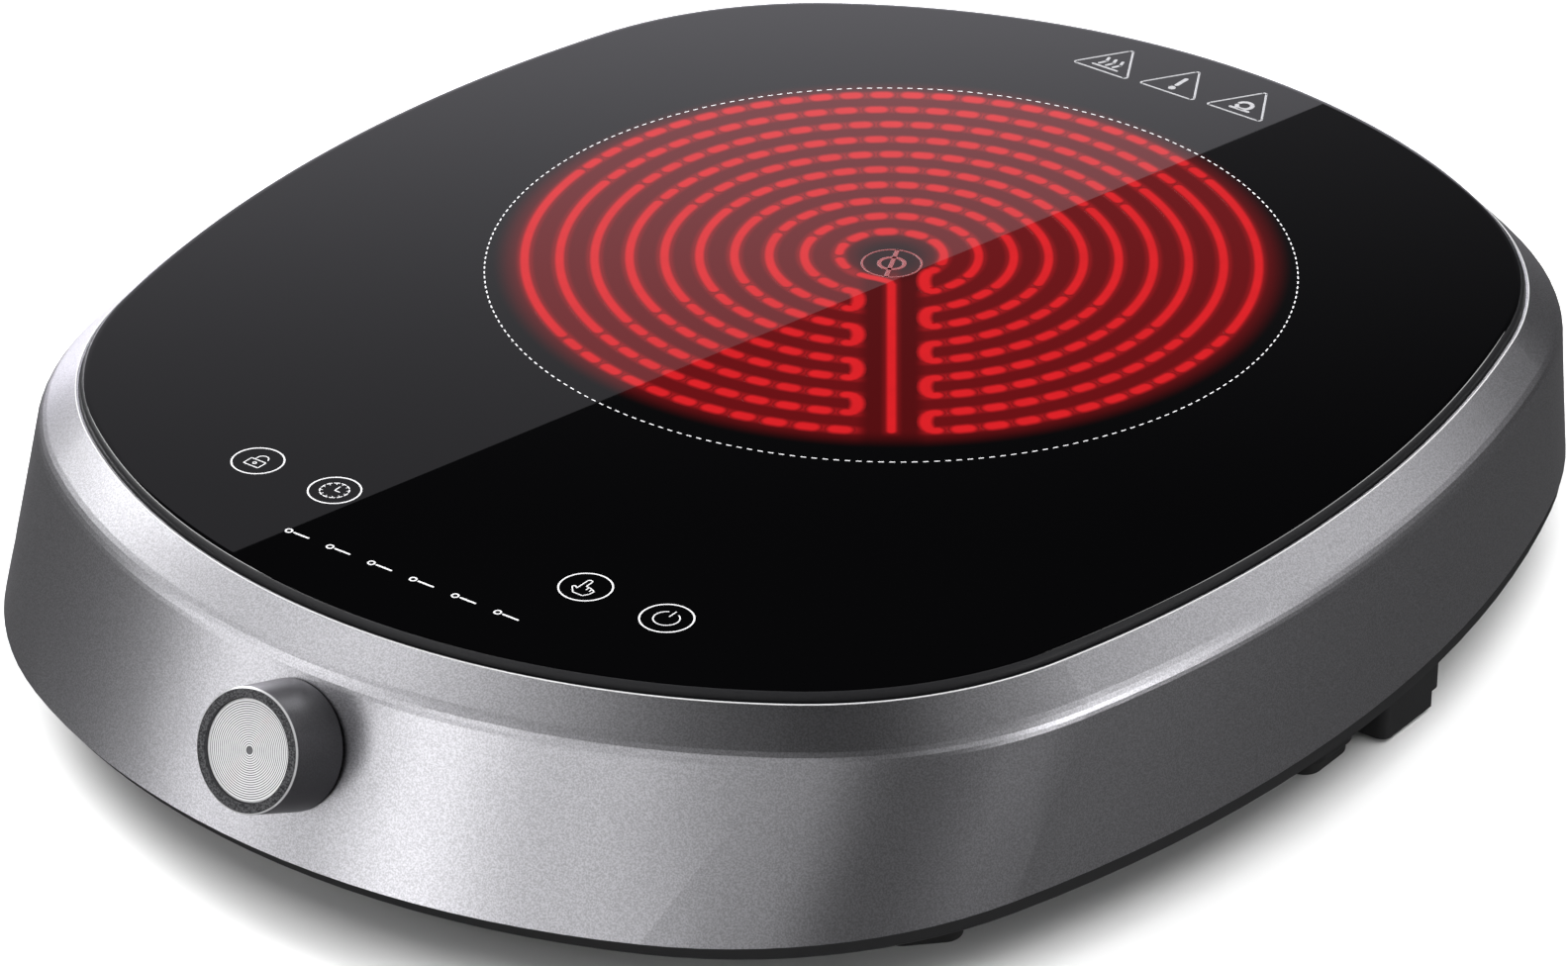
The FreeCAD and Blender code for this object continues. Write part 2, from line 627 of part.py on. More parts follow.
def upper_housing():
    outer = skin()
    ceiling = edge_at(LEDGE_BOTTOM)
    cavity = loft([outline_of(edge_at(WALL_BOTTOM - 1), WALL),
                   outline_of(CREASE_EDGE, WALL),
                   outline_of(ceiling, SHOULDER_WALL)])
    pocket = GLASS.grown(GLASS_BEVEL + SEAL_SIDE).slab(LEDGE_TOP, LIP_Z + 1)
    window = GLASS.grown(-LEDGE_INSET).slab(LEDGE_BOTTOM - 1, LEDGE_TOP + 1)
    shell = outer.cut([cavity, pocket, window])
    stock = []
    for x, y, angle in HOUSING_SCREWS:
        stock.append(cylinder(x, y, FLOOR_TOP, LEDGE_BOTTOM + 1, COLUMN_RADIUS))
        rib = box(x, x + RIB_REACH, y - RIB_WIDTH / 2, y + RIB_WIDTH / 2,
                  FLOOR_TOP + UPSTAND_HEIGHT + 1, LEDGE_BOTTOM + 1)
        stock.append(turned(rib, x, y, angle).common(outer))
    pad = wall_pad().common(outer)
    shell = fuse([shell] + stock + [pad])
    pilots = [cylinder(x, y, FLOOR_TOP - 1, FLOOR_TOP + HOUSING_SCREW_LENGTH, SCREW_RADIUS + THREAD_GAP)
              for x, y, _ in HOUSING_SCREWS]
    return shell.cut(pilots + [bush_hole()])


def slots(x, y, row):
    """A row of parallel slots through the floor, side by side in X about (x, y)."""
    count, length, pitch = row
    return [moved(stadium_prism(length, SLOT_WIDTH, FLOOR_BOTTOM - 1, FLOOR_TOP + 1),
                  x + (n - (count - 1) / 2) * pitch, y, 90) for n in range(count)]


def feet():
    """Each foot's name, place and heading, with the left-hand ones mirrored from the right."""
    places = []
    for name, (angle, inset, heading) in FEET.items():
        point = strip_outline().grown(-inset).point(angle)
        places.append((name, point.x, point.y, heading))
        places.append((name.replace("right", "left"), -point.x, point.y, 180 - heading))
    return places


def strip_outline():
    """The outline of the black strip, where the lower housing shows below the painted one."""
    return GLASS.grown(BOTTOM_OUT_X - STRIP_INSET, BOTTOM_OUT_Y - STRIP_INSET_DEPTH,
                       BOTTOM_SHIFT + STRIP_SHIFT, (BOTTOM_SIDE_BOW, BOTTOM_END_BOW))


def foot_boss(x, y, angle):
    """The tapered stub under the floor that holds a rubber foot in its end."""
    boss = Part.makeLoft([stadium(*FOOT_BOSS_TOP, FLOOR_BOTTOM + EMBED),
                          stadium(*FOOT_BOSS_TOP, FLOOR_BOTTOM - FOOT_BOSS_STEP),
                          stadium(*FOOT_BOSS_END, FOOT_PAD_PROUD)], True, True)
    pocket = stadium_prism(*FOOT_PAD, FOOT_PAD_PROUD - 1, FOOT_PAD_PROUD + FOOT_PAD_DEPTH)
    return moved(boss.cut(pocket), x, y, angle)


def foot(x, y, angle):
    pad = stadium_prism(*FOOT_PAD, 0, FOOT_PAD_PROUD + FOOT_PAD_DEPTH)
    rim = [edge for edge in pad.Edges if abs(edge.CenterOfMass.z) < 0.01]
    return moved(pad.makeFillet(FOOT_PAD_ROUNDING, rim), x, y, angle)


def lower_housing():
    strip = strip_outline()
    top_edge = outline_of(BOTTOM_EDGE, STRIP_INSET)
    upstand_top = FLOOR_TOP + UPSTAND_HEIGHT
    upstand = outline_of(edge_at(upstand_top), WALL + UPSTAND_GAP)[0]
    tray = loft([(strip.grown(-STRIP_CHAMFER), FLOOR_BOTTOM), (strip, FLOOR_BOTTOM + STRIP_CHAMFER),
                 top_edge])
    stock = [tray, upstand.slab(FLOOR_TOP - EMBED, upstand_top)]
    stock += [foot_boss(x, y, angle) for _, x, y, angle in feet()]
    inside = upstand.grown(-UPSTAND_WALL).slab(FLOOR_TOP, upstand_top + 1)
    body = fuse(stock).cut(inside)
    posts = [(POWER_HOLES, POWER_BOTTOM, POST_RADIUS),
             (CONTROL_HOLES, CONTROL_BOTTOM, POST_RADIUS),
             (BRACKET_HOLES, BRACKET_BOTTOM, BRACKET_POST_RADIUS),
             ([(SENSOR_X, SENSOR_Y)], sensor_seat(), POST_RADIUS)]
    body = fuse([body] + [cylinder(x, y, FLOOR_TOP - EMBED, top, radius)
                          for places, top, radius in posts for x, y in places])
    exhaust_y = GLASS_Y + GLASS_HALF_DEPTH - EXHAUST_FROM_REAR
    cuts = slots(FAN_X, FAN_Y, INTAKE_SLOTS) + slots(0, exhaust_y, EXHAUST_SLOTS)
    cuts.append(gland_neck(GLAND_NECK_GAP))
    for x, y, _ in HOUSING_SCREWS:
        cuts.append(cylinder(x, y, FLOOR_BOTTOM - 1, FLOOR_TOP + 1, SCREW_RADIUS + SCREW_CLEARANCE))
        cuts.append(cylinder(x, y, FLOOR_BOTTOM - 1, FLOOR_BOTTOM + SCREW_HEAD_HEIGHT,
                             SCREW_HEAD_RADIUS + SCREW_CLEARANCE))
    for places, top, _ in posts[:3]:
        cuts += [cylinder(x, y, top - BOARD_SCREW_LENGTH, top + 1, SCREW_RADIUS + THREAD_GAP)
                 for x, y in places]
    cuts += [cylinder(x, y, FLOOR_BOTTOM + EMBED, FLOOR_TOP + 1, SCREW_RADIUS + THREAD_GAP)
             for x, y in FAN_HOLES]
    return body.cut(cuts)


def base_screws():
    """Screws driven up from below, each head flush in the floor."""
    group = []
    for x, y, _ in HOUSING_SCREWS:
        head = cylinder(x, y, FLOOR_BOTTOM, FLOOR_BOTTOM + SCREW_HEAD_HEIGHT, SCREW_HEAD_RADIUS)
        shank = cylinder(x, y, FLOOR_BOTTOM + SCREW_HEAD_HEIGHT, FLOOR_BOTTOM + HOUSING_SCREW_LENGTH,
                         SCREW_RADIUS)
        group.append(fuse([head, shank]))
    return Part.makeCompound(group)


# ---- Cord outlet --------------------------------------------------------------------------------

def gland_neck(gap=0.0):
    """The part of the outlet that stands in the floor's opening."""
    y = GLASS_Y + sum(GLAND_Y) / 2
    return centred_box(GLAND_X, y, FLOOR_BOTTOM - 1,
                       (GLAND_NECK[0] + 2 * gap, GLAND_NECK[1] + 2 * gap, GLAND_NECK_HEIGHT + 1))


def cord_gland():
    x = GLAND_X
    y0, y1 = (GLASS_Y + y for y in GLAND_Y)
    block = box(x - GLAND_WIDTH / 2, x + GLAND_WIDTH / 2, y0, y1, GLAND_LIFT, FLOOR_BOTTOM)
    upright = [e for e in block.Edges if abs(e.BoundBox.ZLength - block.BoundBox.ZLength) < 0.01]
    block = block.makeFillet(GLAND_CORNER, upright)
    low_rear = Part.makeBox(GLAND_WIDTH, GLAND_ROUNDING, GLAND_ROUNDING,
                            Vec(x - GLAND_WIDTH / 2, y1 - GLAND_ROUNDING, GLAND_LIFT))
    roller = Part.makeCylinder(GLAND_ROUNDING, GLAND_WIDTH, low_rear.BoundBox.getPoint(0)
                               + Z_AXIS * GLAND_ROUNDING, X_AXIS)
    block = block.cut(low_rear.cut(roller))
    whole = fuse([block, gland_neck()])
    bore = Part.makeCylinder(GLAND_BORE_RADIUS, GLAND_BORE_LENGTH + 1,
                             Vec(x, y1 - GLAND_BORE_LENGTH, GLAND_BORE_HEIGHT), Y_AXIS)
    riser = centred_box(x, y1 - GLAND_BORE_LENGTH + GLAND_RISER / 2, GLAND_BORE_HEIGHT,
                        (GLAND_RISER, GLAND_RISER, FLOOR_TOP))
    return whole.cut([bore, riser])


# ---- Heater -------------------------------------------------------------------------------------

def from_heater(radius, angle):
    """A place a radius out from the heater's centre, at an angle from +X."""
    return (HEATER_X + radius * math.cos(math.radians(angle)),
            HEATER_Y + radius * math.sin(math.radians(angle)))


def limiter_line(reach, radius):
    """A round bar along the limiter's line, from the dish's wall inward."""
    x, y = from_heater(DISH_RADIUS + LIMITER_HEAD_OFF_DISH, LIMITER_ANGLE)
    inward = Vec(HEATER_X - x, HEATER_Y - y, 0).normalize()
    return Part.makeCylinder(radius, reach, Vec(x, y, LIMITER_Z), inward)


def heater_dish():
    outside = cylinder(HEATER_X, HEATER_Y, DISH_BOTTOM, DISH_TOP, DISH_RADIUS)
    inside = cylinder(HEATER_X, HEATER_Y, DISH_BOTTOM + DISH_SHEET, DISH_TOP + 1, DISH_RADIUS - DISH_SHEET)
    return fuse([outside.cut([inside, limiter_line(RING_WIDTH, LIMITER_RADIUS + LIMITER_GAP)]),
                 limiter_shelf().cut(outside)])


def heater_insulation():
    return cylinder(HEATER_X, HEATER_Y, DISH_BOTTOM + DISH_SHEET, COIL_Z, DISH_RADIUS - DISH_SHEET)


def heater_ring():
    ring = tube(HEATER_X, HEATER_Y, COIL_Z, GLASS_BOTTOM, DISH_RADIUS - DISH_SHEET,
                DISH_RADIUS - DISH_SHEET - RING_WIDTH)
    return ring.cut(limiter_line(2 * RING_WIDTH, LIMITER_RADIUS + LIMITER_GAP))


def coil_path():
    """The ribbon's centre line: rings open on one channel, joined in turn left and right of it, with a
    straight run down the channel from the innermost ring. Made with the channel along -Y."""
    radii = [COIL_INNER_RADIUS + COIL_PITCH * n for n in range(COIL_RINGS)]
    outer = radii[-1]

    def ring_end(radius, side):
        return Vec(side * COIL_CHANNEL_HALF, -math.sqrt(radius ** 2 - COIL_CHANNEL_HALF ** 2), 0)

    path = [Part.makeLine(Vec(0, -outer, 0), Vec(0, -radii[0], 0)),
            Part.makeLine(Vec(0, -radii[0], 0), ring_end(radii[0], -1))]
    side = -1
    for radius, following in zip(radii, radii[1:] + [None]):
        path.append(Part.Arc(ring_end(radius, side), Vec(0, radius, 0), ring_end(radius, -side)).toShape())
        side = -side
        if following:
            near, far = ring_end(radius, side), ring_end(following, side)
            middle = (near + far) * 0.5 - Vec(side * COIL_TURN_BULGE, 0, 0)
            path.append(Part.Arc(near, middle, far).toShape())
    return Part.Wire(path)


def ribbon_along(edge):
    """The plan of the ribbon along one line or arc of its path, as a face."""
    half = COIL_RIBBON / 2
    if isinstance(edge.Curve, Part.Circle):
        rails = []
        for radius in (edge.Curve.Radius + half, edge.Curve.Radius - half):
            circle = edge.Curve.copy()
            circle.Radius = radius
            rails.append(circle.toShape(edge.FirstParameter, edge.LastParameter))
        ends = [Part.makeLine(*[rail.Vertexes[n].Point for rail in rails]) for n in (0, 1)]
        return Part.Face(Part.Wire(Part.sortEdges(rails + ends)[0]))
    a, b = (vertex.Point for vertex in edge.Vertexes)
    along = (b - a).normalize() * half
    across = Vec(-along.y, along.x, 0)
    a, b = a - along, b + along
    return Part.Face(Part.makePolygon([a + across, b + across, b - across, a - across, a + across]))


def heater_coil():
    """The ribbon, on edge along its path."""
    ribbon = fuse([ribbon_along(edge).extrude(Vec(0, 0, COIL_HEIGHT)) for edge in coil_path().Edges])
    ribbon.rotate(Vec(0, 0, 0), Z_AXIS, COIL_CHANNEL_ANGLE + 90)
    ribbon.translate(Vec(HEATER_X, HEATER_Y, COIL_Z))
    return ribbon


def limiter_rod():
    return limiter_line(LIMITER_LENGTH, LIMITER_RADIUS)


def limiter_head():
    x, y = from_heater(DISH_RADIUS + LIMITER_HEAD_OFF_DISH + LIMITER_HEAD[1] / 2, LIMITER_ANGLE)
    return turned(centred_box(x, y, LIMITER_HEAD_Z, LIMITER_HEAD), x, y, LIMITER_ANGLE - 90)


def limiter_shelf():
    """The sheet-steel ear on the dish's side, on which the limiter's head stands."""
    reach = LIMITER_HEAD_OFF_DISH + LIMITER_HEAD[1]
    x, y = from_heater(DISH_RADIUS + (reach - DISH_SHEET) / 2, LIMITER_ANGLE)
    shelf = centred_box(x, y, LIMITER_HEAD_Z - DISH_SHEET,
                        (LIMITER_SHELF_WIDTH, reach + DISH_SHEET, DISH_SHEET))
    return turned(shelf, x, y, LIMITER_ANGLE - 90)


def heater_bracket():
    strap = box(HEATER_X - BRACKET_HALF_SPAN, HEATER_X + BRACKET_HALF_SPAN,
                HEATER_Y - BRACKET_WIDTH / 2, HEATER_Y + BRACKET_WIDTH / 2, BRACKET_BOTTOM, DISH_BOTTOM)
    return drilled(strap, BRACKET_HOLES, BRACKET_BOTTOM - 1, DISH_BOTTOM + 1, SCREW_RADIUS + SCREW_CLEARANCE)


# ---- Boards and what is on them -----------------------------------------------------------------

def board(x_range, y_range, z, holes):
    plate = box(*x_range, *y_range, z, z + BOARD_THICKNESS)
    return drilled(plate, holes, z - 1, z + BOARD_THICKNESS + 1, SCREW_RADIUS + SCREW_CLEARANCE)


def touch_contacts():
    return Part.makeCompound([
        tube(x, GLASS_FRONT + TOUCH_KEYS_BACK, CONTROL_TOP, GLASS_BOTTOM, TOUCH_CONTACT_RADIUS,
             TOUCH_CONTACT_RADIUS - TOUCH_CONTACT_WALL) for x in TOUCH_KEYS_X])


def indicator_leds():
    height = GLASS_BOTTOM - CONTROL_TOP - INDICATOR_DROP
    group = []
    for n in range(INDICATORS):
        x = (n - (INDICATORS - 1) / 2) * INDICATOR_PITCH
        y = GLASS_FRONT + INDICATORS_BACK
        barrel = cylinder(x, y, CONTROL_TOP, CONTROL_TOP + height - INDICATOR_RADIUS, INDICATOR_RADIUS)
        dome = Part.makeSphere(INDICATOR_RADIUS, Vec(x, y, CONTROL_TOP + height - INDICATOR_RADIUS))
        group.append(fuse([barrel, dome]))
    return Part.makeCompound(group)


def buzzer():
    y = GLASS_FRONT + TOUCH_KEYS_BACK
    return tube(0, y, CONTROL_TOP, CONTROL_TOP + BUZZER_HEIGHT, BUZZER_RADIUS, SCREW_RADIUS)


def sensor_seat():
    return GLASS_BOTTOM - SENSOR_HEIGHT - SENSOR_SPRING_HEIGHT


def temperature_sensor():
    return cylinder(SENSOR_X, SENSOR_Y, GLASS_BOTTOM - SENSOR_HEIGHT, GLASS_BOTTOM, SENSOR_RADIUS)


def sensor_spring():
    """The coil spring that presses the sensor against the glass."""
    radius = SENSOR_SPRING_RADIUS - SENSOR_SPRING_WIRE / 2
    rise = SENSOR_SPRING_HEIGHT - 2 * SENSOR_SPRING_WIRE
    helix = Part.makeHelix(SENSOR_SPRING_PITCH, rise, radius)
    section = Part.Wire(Part.makeCircle(SENSOR_SPRING_WIRE / 2, Vec(radius, 0, 0), Y_AXIS))
    coil = Part.Wire(helix.Edges).makePipeShell([section], True, True)
    coil.translate(Vec(SENSOR_X, SENSOR_Y, sensor_seat() + SENSOR_SPRING_WIRE))
    rings = [Part.makeTorus(radius, SENSOR_SPRING_WIRE / 2, Vec(SENSOR_X, SENSOR_Y, sensor_seat() + z))
             for z in (SENSOR_SPRING_WIRE / 2, SENSOR_SPRING_HEIGHT - SENSOR_SPRING_WIRE / 2)]
    return fuse([coil] + rings)


def on_power_board(share_x, share_y):
    """A place on the power board, as shares of its width and depth."""
    return (POWER_BOARD_X[0] + (POWER_BOARD_X[1] - POWER_BOARD_X[0]) * share_x,
            POWER_Y[0] + (POWER_Y[1] - POWER_Y[0]) * share_y)


def heat_sink():
    x, y = on_power_board(*HEAT_SINK_SPOT)
    width, depth, height = HEAT_SINK
    block = centred_box(x, y, POWER_TOP, HEAT_SINK)
    gap = (width - HEAT_SINK_FINS * HEAT_SINK_FIN) / (HEAT_SINK_FINS - 1)
    cuts = []
    for n in range(HEAT_SINK_FINS - 1):
        x0 = x - width / 2 + HEAT_SINK_FIN + n * (gap + HEAT_SINK_FIN)
        cuts.append(box(x0, x0 + gap, y - depth / 2 - 1, y + depth / 2 - HEAT_SINK_BASE,
                        POWER_TOP - 1, POWER_TOP + height + 1))
    return block.cut(cuts)


def triac():
    x, y = on_power_board(*HEAT_SINK_SPOT)
    return centred_box(x, y + HEAT_SINK[1] / 2 + TRIAC[1] / 2, POWER_TOP, TRIAC)


def transformer():
    """A laminated core with its winding."""
    x, y = on_power_board(*TRANSFORMER_SPOT)
    core = centred_box(x, y, POWER_TOP, TRANSFORMER)
    winding = centred_box(x, y, POWER_TOP + (TRANSFORMER[2] - WINDING[2]) / 2, WINDING)
    return fuse([core, winding])


def filter_capacitor():
    x, y = on_power_board(*FILTER_CAPACITOR_SPOT)
    return centred_box(x, y, POWER_TOP, FILTER_CAPACITOR)


def relay():
    x, y = on_power_board(*RELAY_SPOT)
    return centred_box(x, y, POWER_TOP, RELAY)


def smoothing_capacitor():
    x, y = on_power_board(*CAN_SPOT)
    return cylinder(x, y, POWER_TOP, POWER_TOP + CAN_HEIGHT, CAN_RADIUS)


def fuse_link():
    """A glass-bodied fuse with its two end caps."""
    x, y = on_power_board(*FUSE_SPOT)
    z = POWER_TOP + FUSE_RADIUS
    start = Vec(x - FUSE_LENGTH / 2, y, z)
    body = Part.makeCylinder(FUSE_RADIUS - FUSE_CAP_SHEET, FUSE_LENGTH, start, X_AXIS)
    caps = [Part.makeCylinder(FUSE_RADIUS, FUSE_CAP, start + Vec(offset, 0, 0), X_AXIS)
            for offset in (0, FUSE_LENGTH - FUSE_CAP)]
    return fuse([body] + caps)


def terminal_block():
    x, y = place(*TERMINAL_BLOCK_PLACE)
    block = centred_box(x, y, FLOOR_TOP, TERMINAL_BLOCK)
    pitch = TERMINAL_BLOCK[1] / TERMINAL_WAYS
    z = FLOOR_TOP + TERMINAL_BLOCK[2] / 2
    ways = [Part.makeCylinder(TERMINAL_HOLE_RADIUS, TERMINAL_BLOCK[0] + 2,
                              Vec(x - TERMINAL_BLOCK[0] / 2 - 1, y + (n - 1) * pitch, z), X_AXIS)
            for n in range(TERMINAL_WAYS)]
    return block.cut(ways)


def board_screws():
    """The screws of both boards."""
    places = [(x, y, POWER_TOP) for x, y in POWER_HOLES] + [(x, y, CONTROL_TOP) for x, y in CONTROL_HOLES]
    length = BOARD_SCREW_LENGTH + BOARD_THICKNESS - SCREW_CLEARANCE
    return Part.makeCompound([screw(x, y, z, length) for x, y, z in places])


def bracket_screws():
    length = BOARD_SCREW_LENGTH + BRACKET_SHEET - SCREW_CLEARANCE
    return Part.makeCompound([screw(x, y, DISH_BOTTOM, length) for x, y in BRACKET_HOLES])


# ---- Fan ----------------------------------------------------------------------------------------

def fan_hub_top():
    return FAN_TOP - FAN_PLATE - FAN_LIFT


def fan_frame():
    """The square frame, with the motor's plate held on struts and the bearing's tube under it."""
    block = centred_box(FAN_X, FAN_Y, FLOOR_TOP, (FAN_SIDE, FAN_SIDE, FAN_HEIGHT))
    upright = [e for e in block.Edges if abs(e.BoundBox.ZLength - FAN_HEIGHT) < 0.01]
    block = block.makeFillet(FAN_CORNER, upright)
    block = block.cut(cylinder(FAN_X, FAN_Y, FLOOR_TOP - 1, FAN_TOP + 1, FAN_BORE_RADIUS))
    plate = cylinder(FAN_X, FAN_Y, FAN_TOP - FAN_PLATE, FAN_TOP, FAN_HUB_RADIUS)
    bearing = cylinder(FAN_X, FAN_Y, FLOOR_TOP + FAN_LIFT + 2 * FAN_HUB_WALL, FAN_TOP - FAN_PLATE / 2,
                       FAN_BEARING_RADIUS)
    struts = [turned(box(FAN_X, FAN_X + FAN_BORE_RADIUS + 1, FAN_Y - FAN_STRUT_WIDTH / 2,
                         FAN_Y + FAN_STRUT_WIDTH / 2, FAN_TOP - FAN_PLATE, FAN_TOP),
                     FAN_X, FAN_Y, 45 + 360 / FAN_STRUTS * n) for n in range(FAN_STRUTS)]
    frame = fuse([block, plate, bearing] + struts)
    bore = cylinder(FAN_X, FAN_Y, FLOOR_TOP, FAN_TOP - FAN_PLATE / 2, FAN_SHAFT_RADIUS + FAN_SHAFT_GAP)
    return drilled(frame.cut(bore), FAN_HOLES, FLOOR_TOP - 1, FAN_TOP + 1, SCREW_RADIUS + SCREW_CLEARANCE)


def fan_stator():
    return tube(FAN_X, FAN_Y, FLOOR_TOP + FAN_LIFT + 2 * FAN_HUB_WALL, FAN_TOP - FAN_PLATE,
                FAN_STATOR_RADIUS, FAN_BEARING_RADIUS + THREAD_GAP)


def fan_impeller():
    """A cup-shaped hub, open upward over the stator, with tilted blades."""
    z0 = FLOOR_TOP + FAN_LIFT
    tip = FAN_BORE_RADIUS - FAN_TIP_GAP
    hub = cylinder(FAN_X, FAN_Y, z0, fan_hub_top(), FAN_HUB_RADIUS)
    cup = cylinder(FAN_X, FAN_Y, z0 + FAN_HUB_WALL, FAN_TOP, FAN_HUB_RADIUS - FAN_HUB_WALL)
    middle_z = (z0 + fan_hub_top()) / 2
    swept = tube(FAN_X, FAN_Y, z0, fan_hub_top(), tip, FAN_HUB_RADIUS - EMBED)
    blades = []
    for n in range(FAN_BLADES):
        blade = box(FAN_X + FAN_HUB_RADIUS - 1, FAN_X + tip + 5, FAN_Y - FAN_BLADE_HEIGHT / 2,
                    FAN_Y + FAN_BLADE_HEIGHT / 2, middle_z - FAN_BLADE / 2, middle_z + FAN_BLADE / 2)
        blade.rotate(Vec(FAN_X, FAN_Y, middle_z), X_AXIS, FAN_BLADE_TILT)
        blades.append(turned(blade, FAN_X, FAN_Y, 360 / FAN_BLADES * n).common(swept))
    wheel = fuse([hub.cut(cup)] + blades)
    return wheel.cut(cylinder(FAN_X, FAN_Y, z0 - 1, FAN_TOP, FAN_SHAFT_RADIUS))


def fan_shaft():
    top = FAN_TOP - FAN_PLATE / 2 - FAN_SHAFT_GAP
    return cylinder(FAN_X, FAN_Y, FLOOR_TOP + FAN_LIFT, top, FAN_SHAFT_RADIUS)


def fan_screws():
    length = FAN_HEIGHT + FLOOR - 2 * EMBED
    return Part.makeCompound([screw(x, y, FAN_TOP, length) for x, y in FAN_HOLES])


# ---- All pieces ---------------------------------------------------------------------------------

PIECES = {
    "glass_top": glass_top, "glass_seal": glass_seal, "upper_housing": upper_housing,
    "lower_housing": lower_housing, "base_screws": base_screws, "cord_gland": cord_gland,
    "knob_shell": knob_shell, "knob_disc": knob_disc, "encoder_shaft": encoder_shaft,
    "encoder_body": encoder_body, "encoder_nut": encoder_nut, "encoder_board": encoder_board,
    "heater_dish": heater_dish, "heater_insulation": heater_insulation, "heater_ring": heater_ring,
    "heater_coil": heater_coil, "limiter_rod": limiter_rod, "limiter_head": limiter_head,
    "heater_bracket": heater_bracket, "bracket_screws": bracket_screws,
    "control_board": lambda: board(CONTROL_X, CONTROL_Y, CONTROL_BOTTOM, CONTROL_HOLES),
    "touch_contacts": touch_contacts, "indicator_leds": indicator_leds, "buzzer": buzzer,
    "temperature_sensor": temperature_sensor, "sensor_spring": sensor_spring,
    "power_board": lambda: board(POWER_BOARD_X, POWER_Y, POWER_BOTTOM, POWER_HOLES),
    "heat_sink": heat_sink, "triac": triac, "transformer": transformer,
    "filter_capacitor": filter_capacitor, "smoothing_capacitor": smoothing_capacitor, "relay": relay,
    "fuse_link": fuse_link, "terminal_block": terminal_block, "board_screws": board_screws,
    "fan_frame": fan_frame, "fan_stator": fan_stator, "fan_impeller": fan_impeller,
    "fan_shaft": fan_shaft, "fan_screws": fan_screws,
}
for foot_name, foot_x, foot_y, foot_angle in feet():
    PIECES[foot_name] = lambda x=foot_x, y=foot_y, angle=foot_angle: foot(x, y, angle)

os.makedirs("parts", exist_ok=True)
for node, make in PIECES.items():
    shape = make()
    shape.exportStep("parts/" + node + ".step")
    print(node, len(shape.Solids), round(shape.Volume / 1000, 2), "cm3", "" if shape.isValid() else "INVALID")
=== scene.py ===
import json
import math

import bpy
import numpy as np
from mathutils import Matrix, Vector


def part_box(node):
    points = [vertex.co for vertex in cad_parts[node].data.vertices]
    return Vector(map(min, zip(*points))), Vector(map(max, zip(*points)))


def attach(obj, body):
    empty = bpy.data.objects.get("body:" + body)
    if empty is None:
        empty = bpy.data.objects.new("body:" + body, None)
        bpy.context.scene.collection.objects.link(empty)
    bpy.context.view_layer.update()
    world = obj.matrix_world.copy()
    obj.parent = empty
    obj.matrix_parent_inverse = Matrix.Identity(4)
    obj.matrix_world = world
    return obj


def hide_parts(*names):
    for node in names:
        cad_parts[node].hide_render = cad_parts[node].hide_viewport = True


# Looks for the countertop hot plate. Metres, in the part's own frame: +Z up, the knob at -Y.
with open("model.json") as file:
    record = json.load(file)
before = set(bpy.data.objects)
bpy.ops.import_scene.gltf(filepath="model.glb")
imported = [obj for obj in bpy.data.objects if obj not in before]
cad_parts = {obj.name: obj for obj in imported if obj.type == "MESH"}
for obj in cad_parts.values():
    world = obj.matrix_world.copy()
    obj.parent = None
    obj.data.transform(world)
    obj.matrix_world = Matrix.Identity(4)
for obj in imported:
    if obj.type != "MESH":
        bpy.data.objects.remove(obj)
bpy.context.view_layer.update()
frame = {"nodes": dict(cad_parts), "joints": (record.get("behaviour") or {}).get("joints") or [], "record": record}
nodes = frame["nodes"]
MM = 0.001

LIP_OUT = 1.95 * MM              # the lip's inner edge outside the glass's flat face
LIP_BEAD = 0.17 * MM             # radius of the bead along that edge that carries a painted highlight
LIP_SIDES = 8

KNOB_LENGTH = 15.4 * MM
KNOB_FRONT = 13.7 * MM           # its radius at the front
KNOB = next(joint for joint in frame["joints"] if joint["name"] == "knob_turn")
KNOB_SEAT, KNOB_AXIS = Vector(KNOB["pos_m"]), Vector(KNOB["axis"])
DISC_RADIUS = 11.3 * MM
DISC_BACK, DISC_FRONT = 13.5 * MM, 14.5 * MM      # along the knob's axis from its seat
DISC_BEVEL = 0.25 * MM
DISC_DISH = 0.30 * MM            # how far its middle lies below its rim
DISC_SIDES = 128
GROOVE_PITCH, GROOVE_DEPTH = 0.50 * MM, 0.02 * MM

# ---- Sizes on the glass -------------------------------------------------------------------------

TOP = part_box("glass_top")[1].z
GLASS_DROP = 0.06                # millimetres from the top of the printed marks to the glass
GLASS_FACE = TOP - GLASS_DROP * MM
STRIP_BASE = GLASS_FACE - 0.04 * MM
STRIP_RIM = GLASS_FACE + 0.006 * MM      # where a printed mark's side meets its sloping rim
STRIP_SLOPE = 0.06 * MM
CIRCLE = Vector((0.0, 39.935)) * MM      # centre of the printed cooking circle
CIRCLE_RADIUS = 95 * MM
CIRCLE_DASHES = 240
CIRCLE_DASH_SHARE = 0.40
GLOW = CIRCLE + Vector((-2.9, 4.2)) * MM  # centre of the glowing rings
GLOW_TURN = math.radians(36.1)
RINGS = 10
RING_FIRST = 12.3 * MM
RING_PITCH = 8.19 * MM
RING_LAST = RING_FIRST + RING_PITCH * (RINGS - 1)
CHANNEL_HALF = 9.5 * MM
TURN_BULGE = 1.9 * MM            # how far a turn reaches into the channel
TURN_ARM = 2.8 * MM              # the length along a ring that belongs to a turn
TURN_HALF = 2.0 * MM             # half a turn's width
DASH_PITCH = 7.5 * MM
DASH_GAP = 0.3 * MM              # between the faded rims of two dashes
DASH_WIDTH = 4.7 * MM            # where a ring crosses the channel's direction
RUN_WIDTH = 2.9 * MM             # where the ribbon runs along it
JOINED_BELOW = 0.48              # dashes join up where the sine of their angle round the ring is less
DOWN = -math.pi / 2              # the channel's direction in the heater's own layout
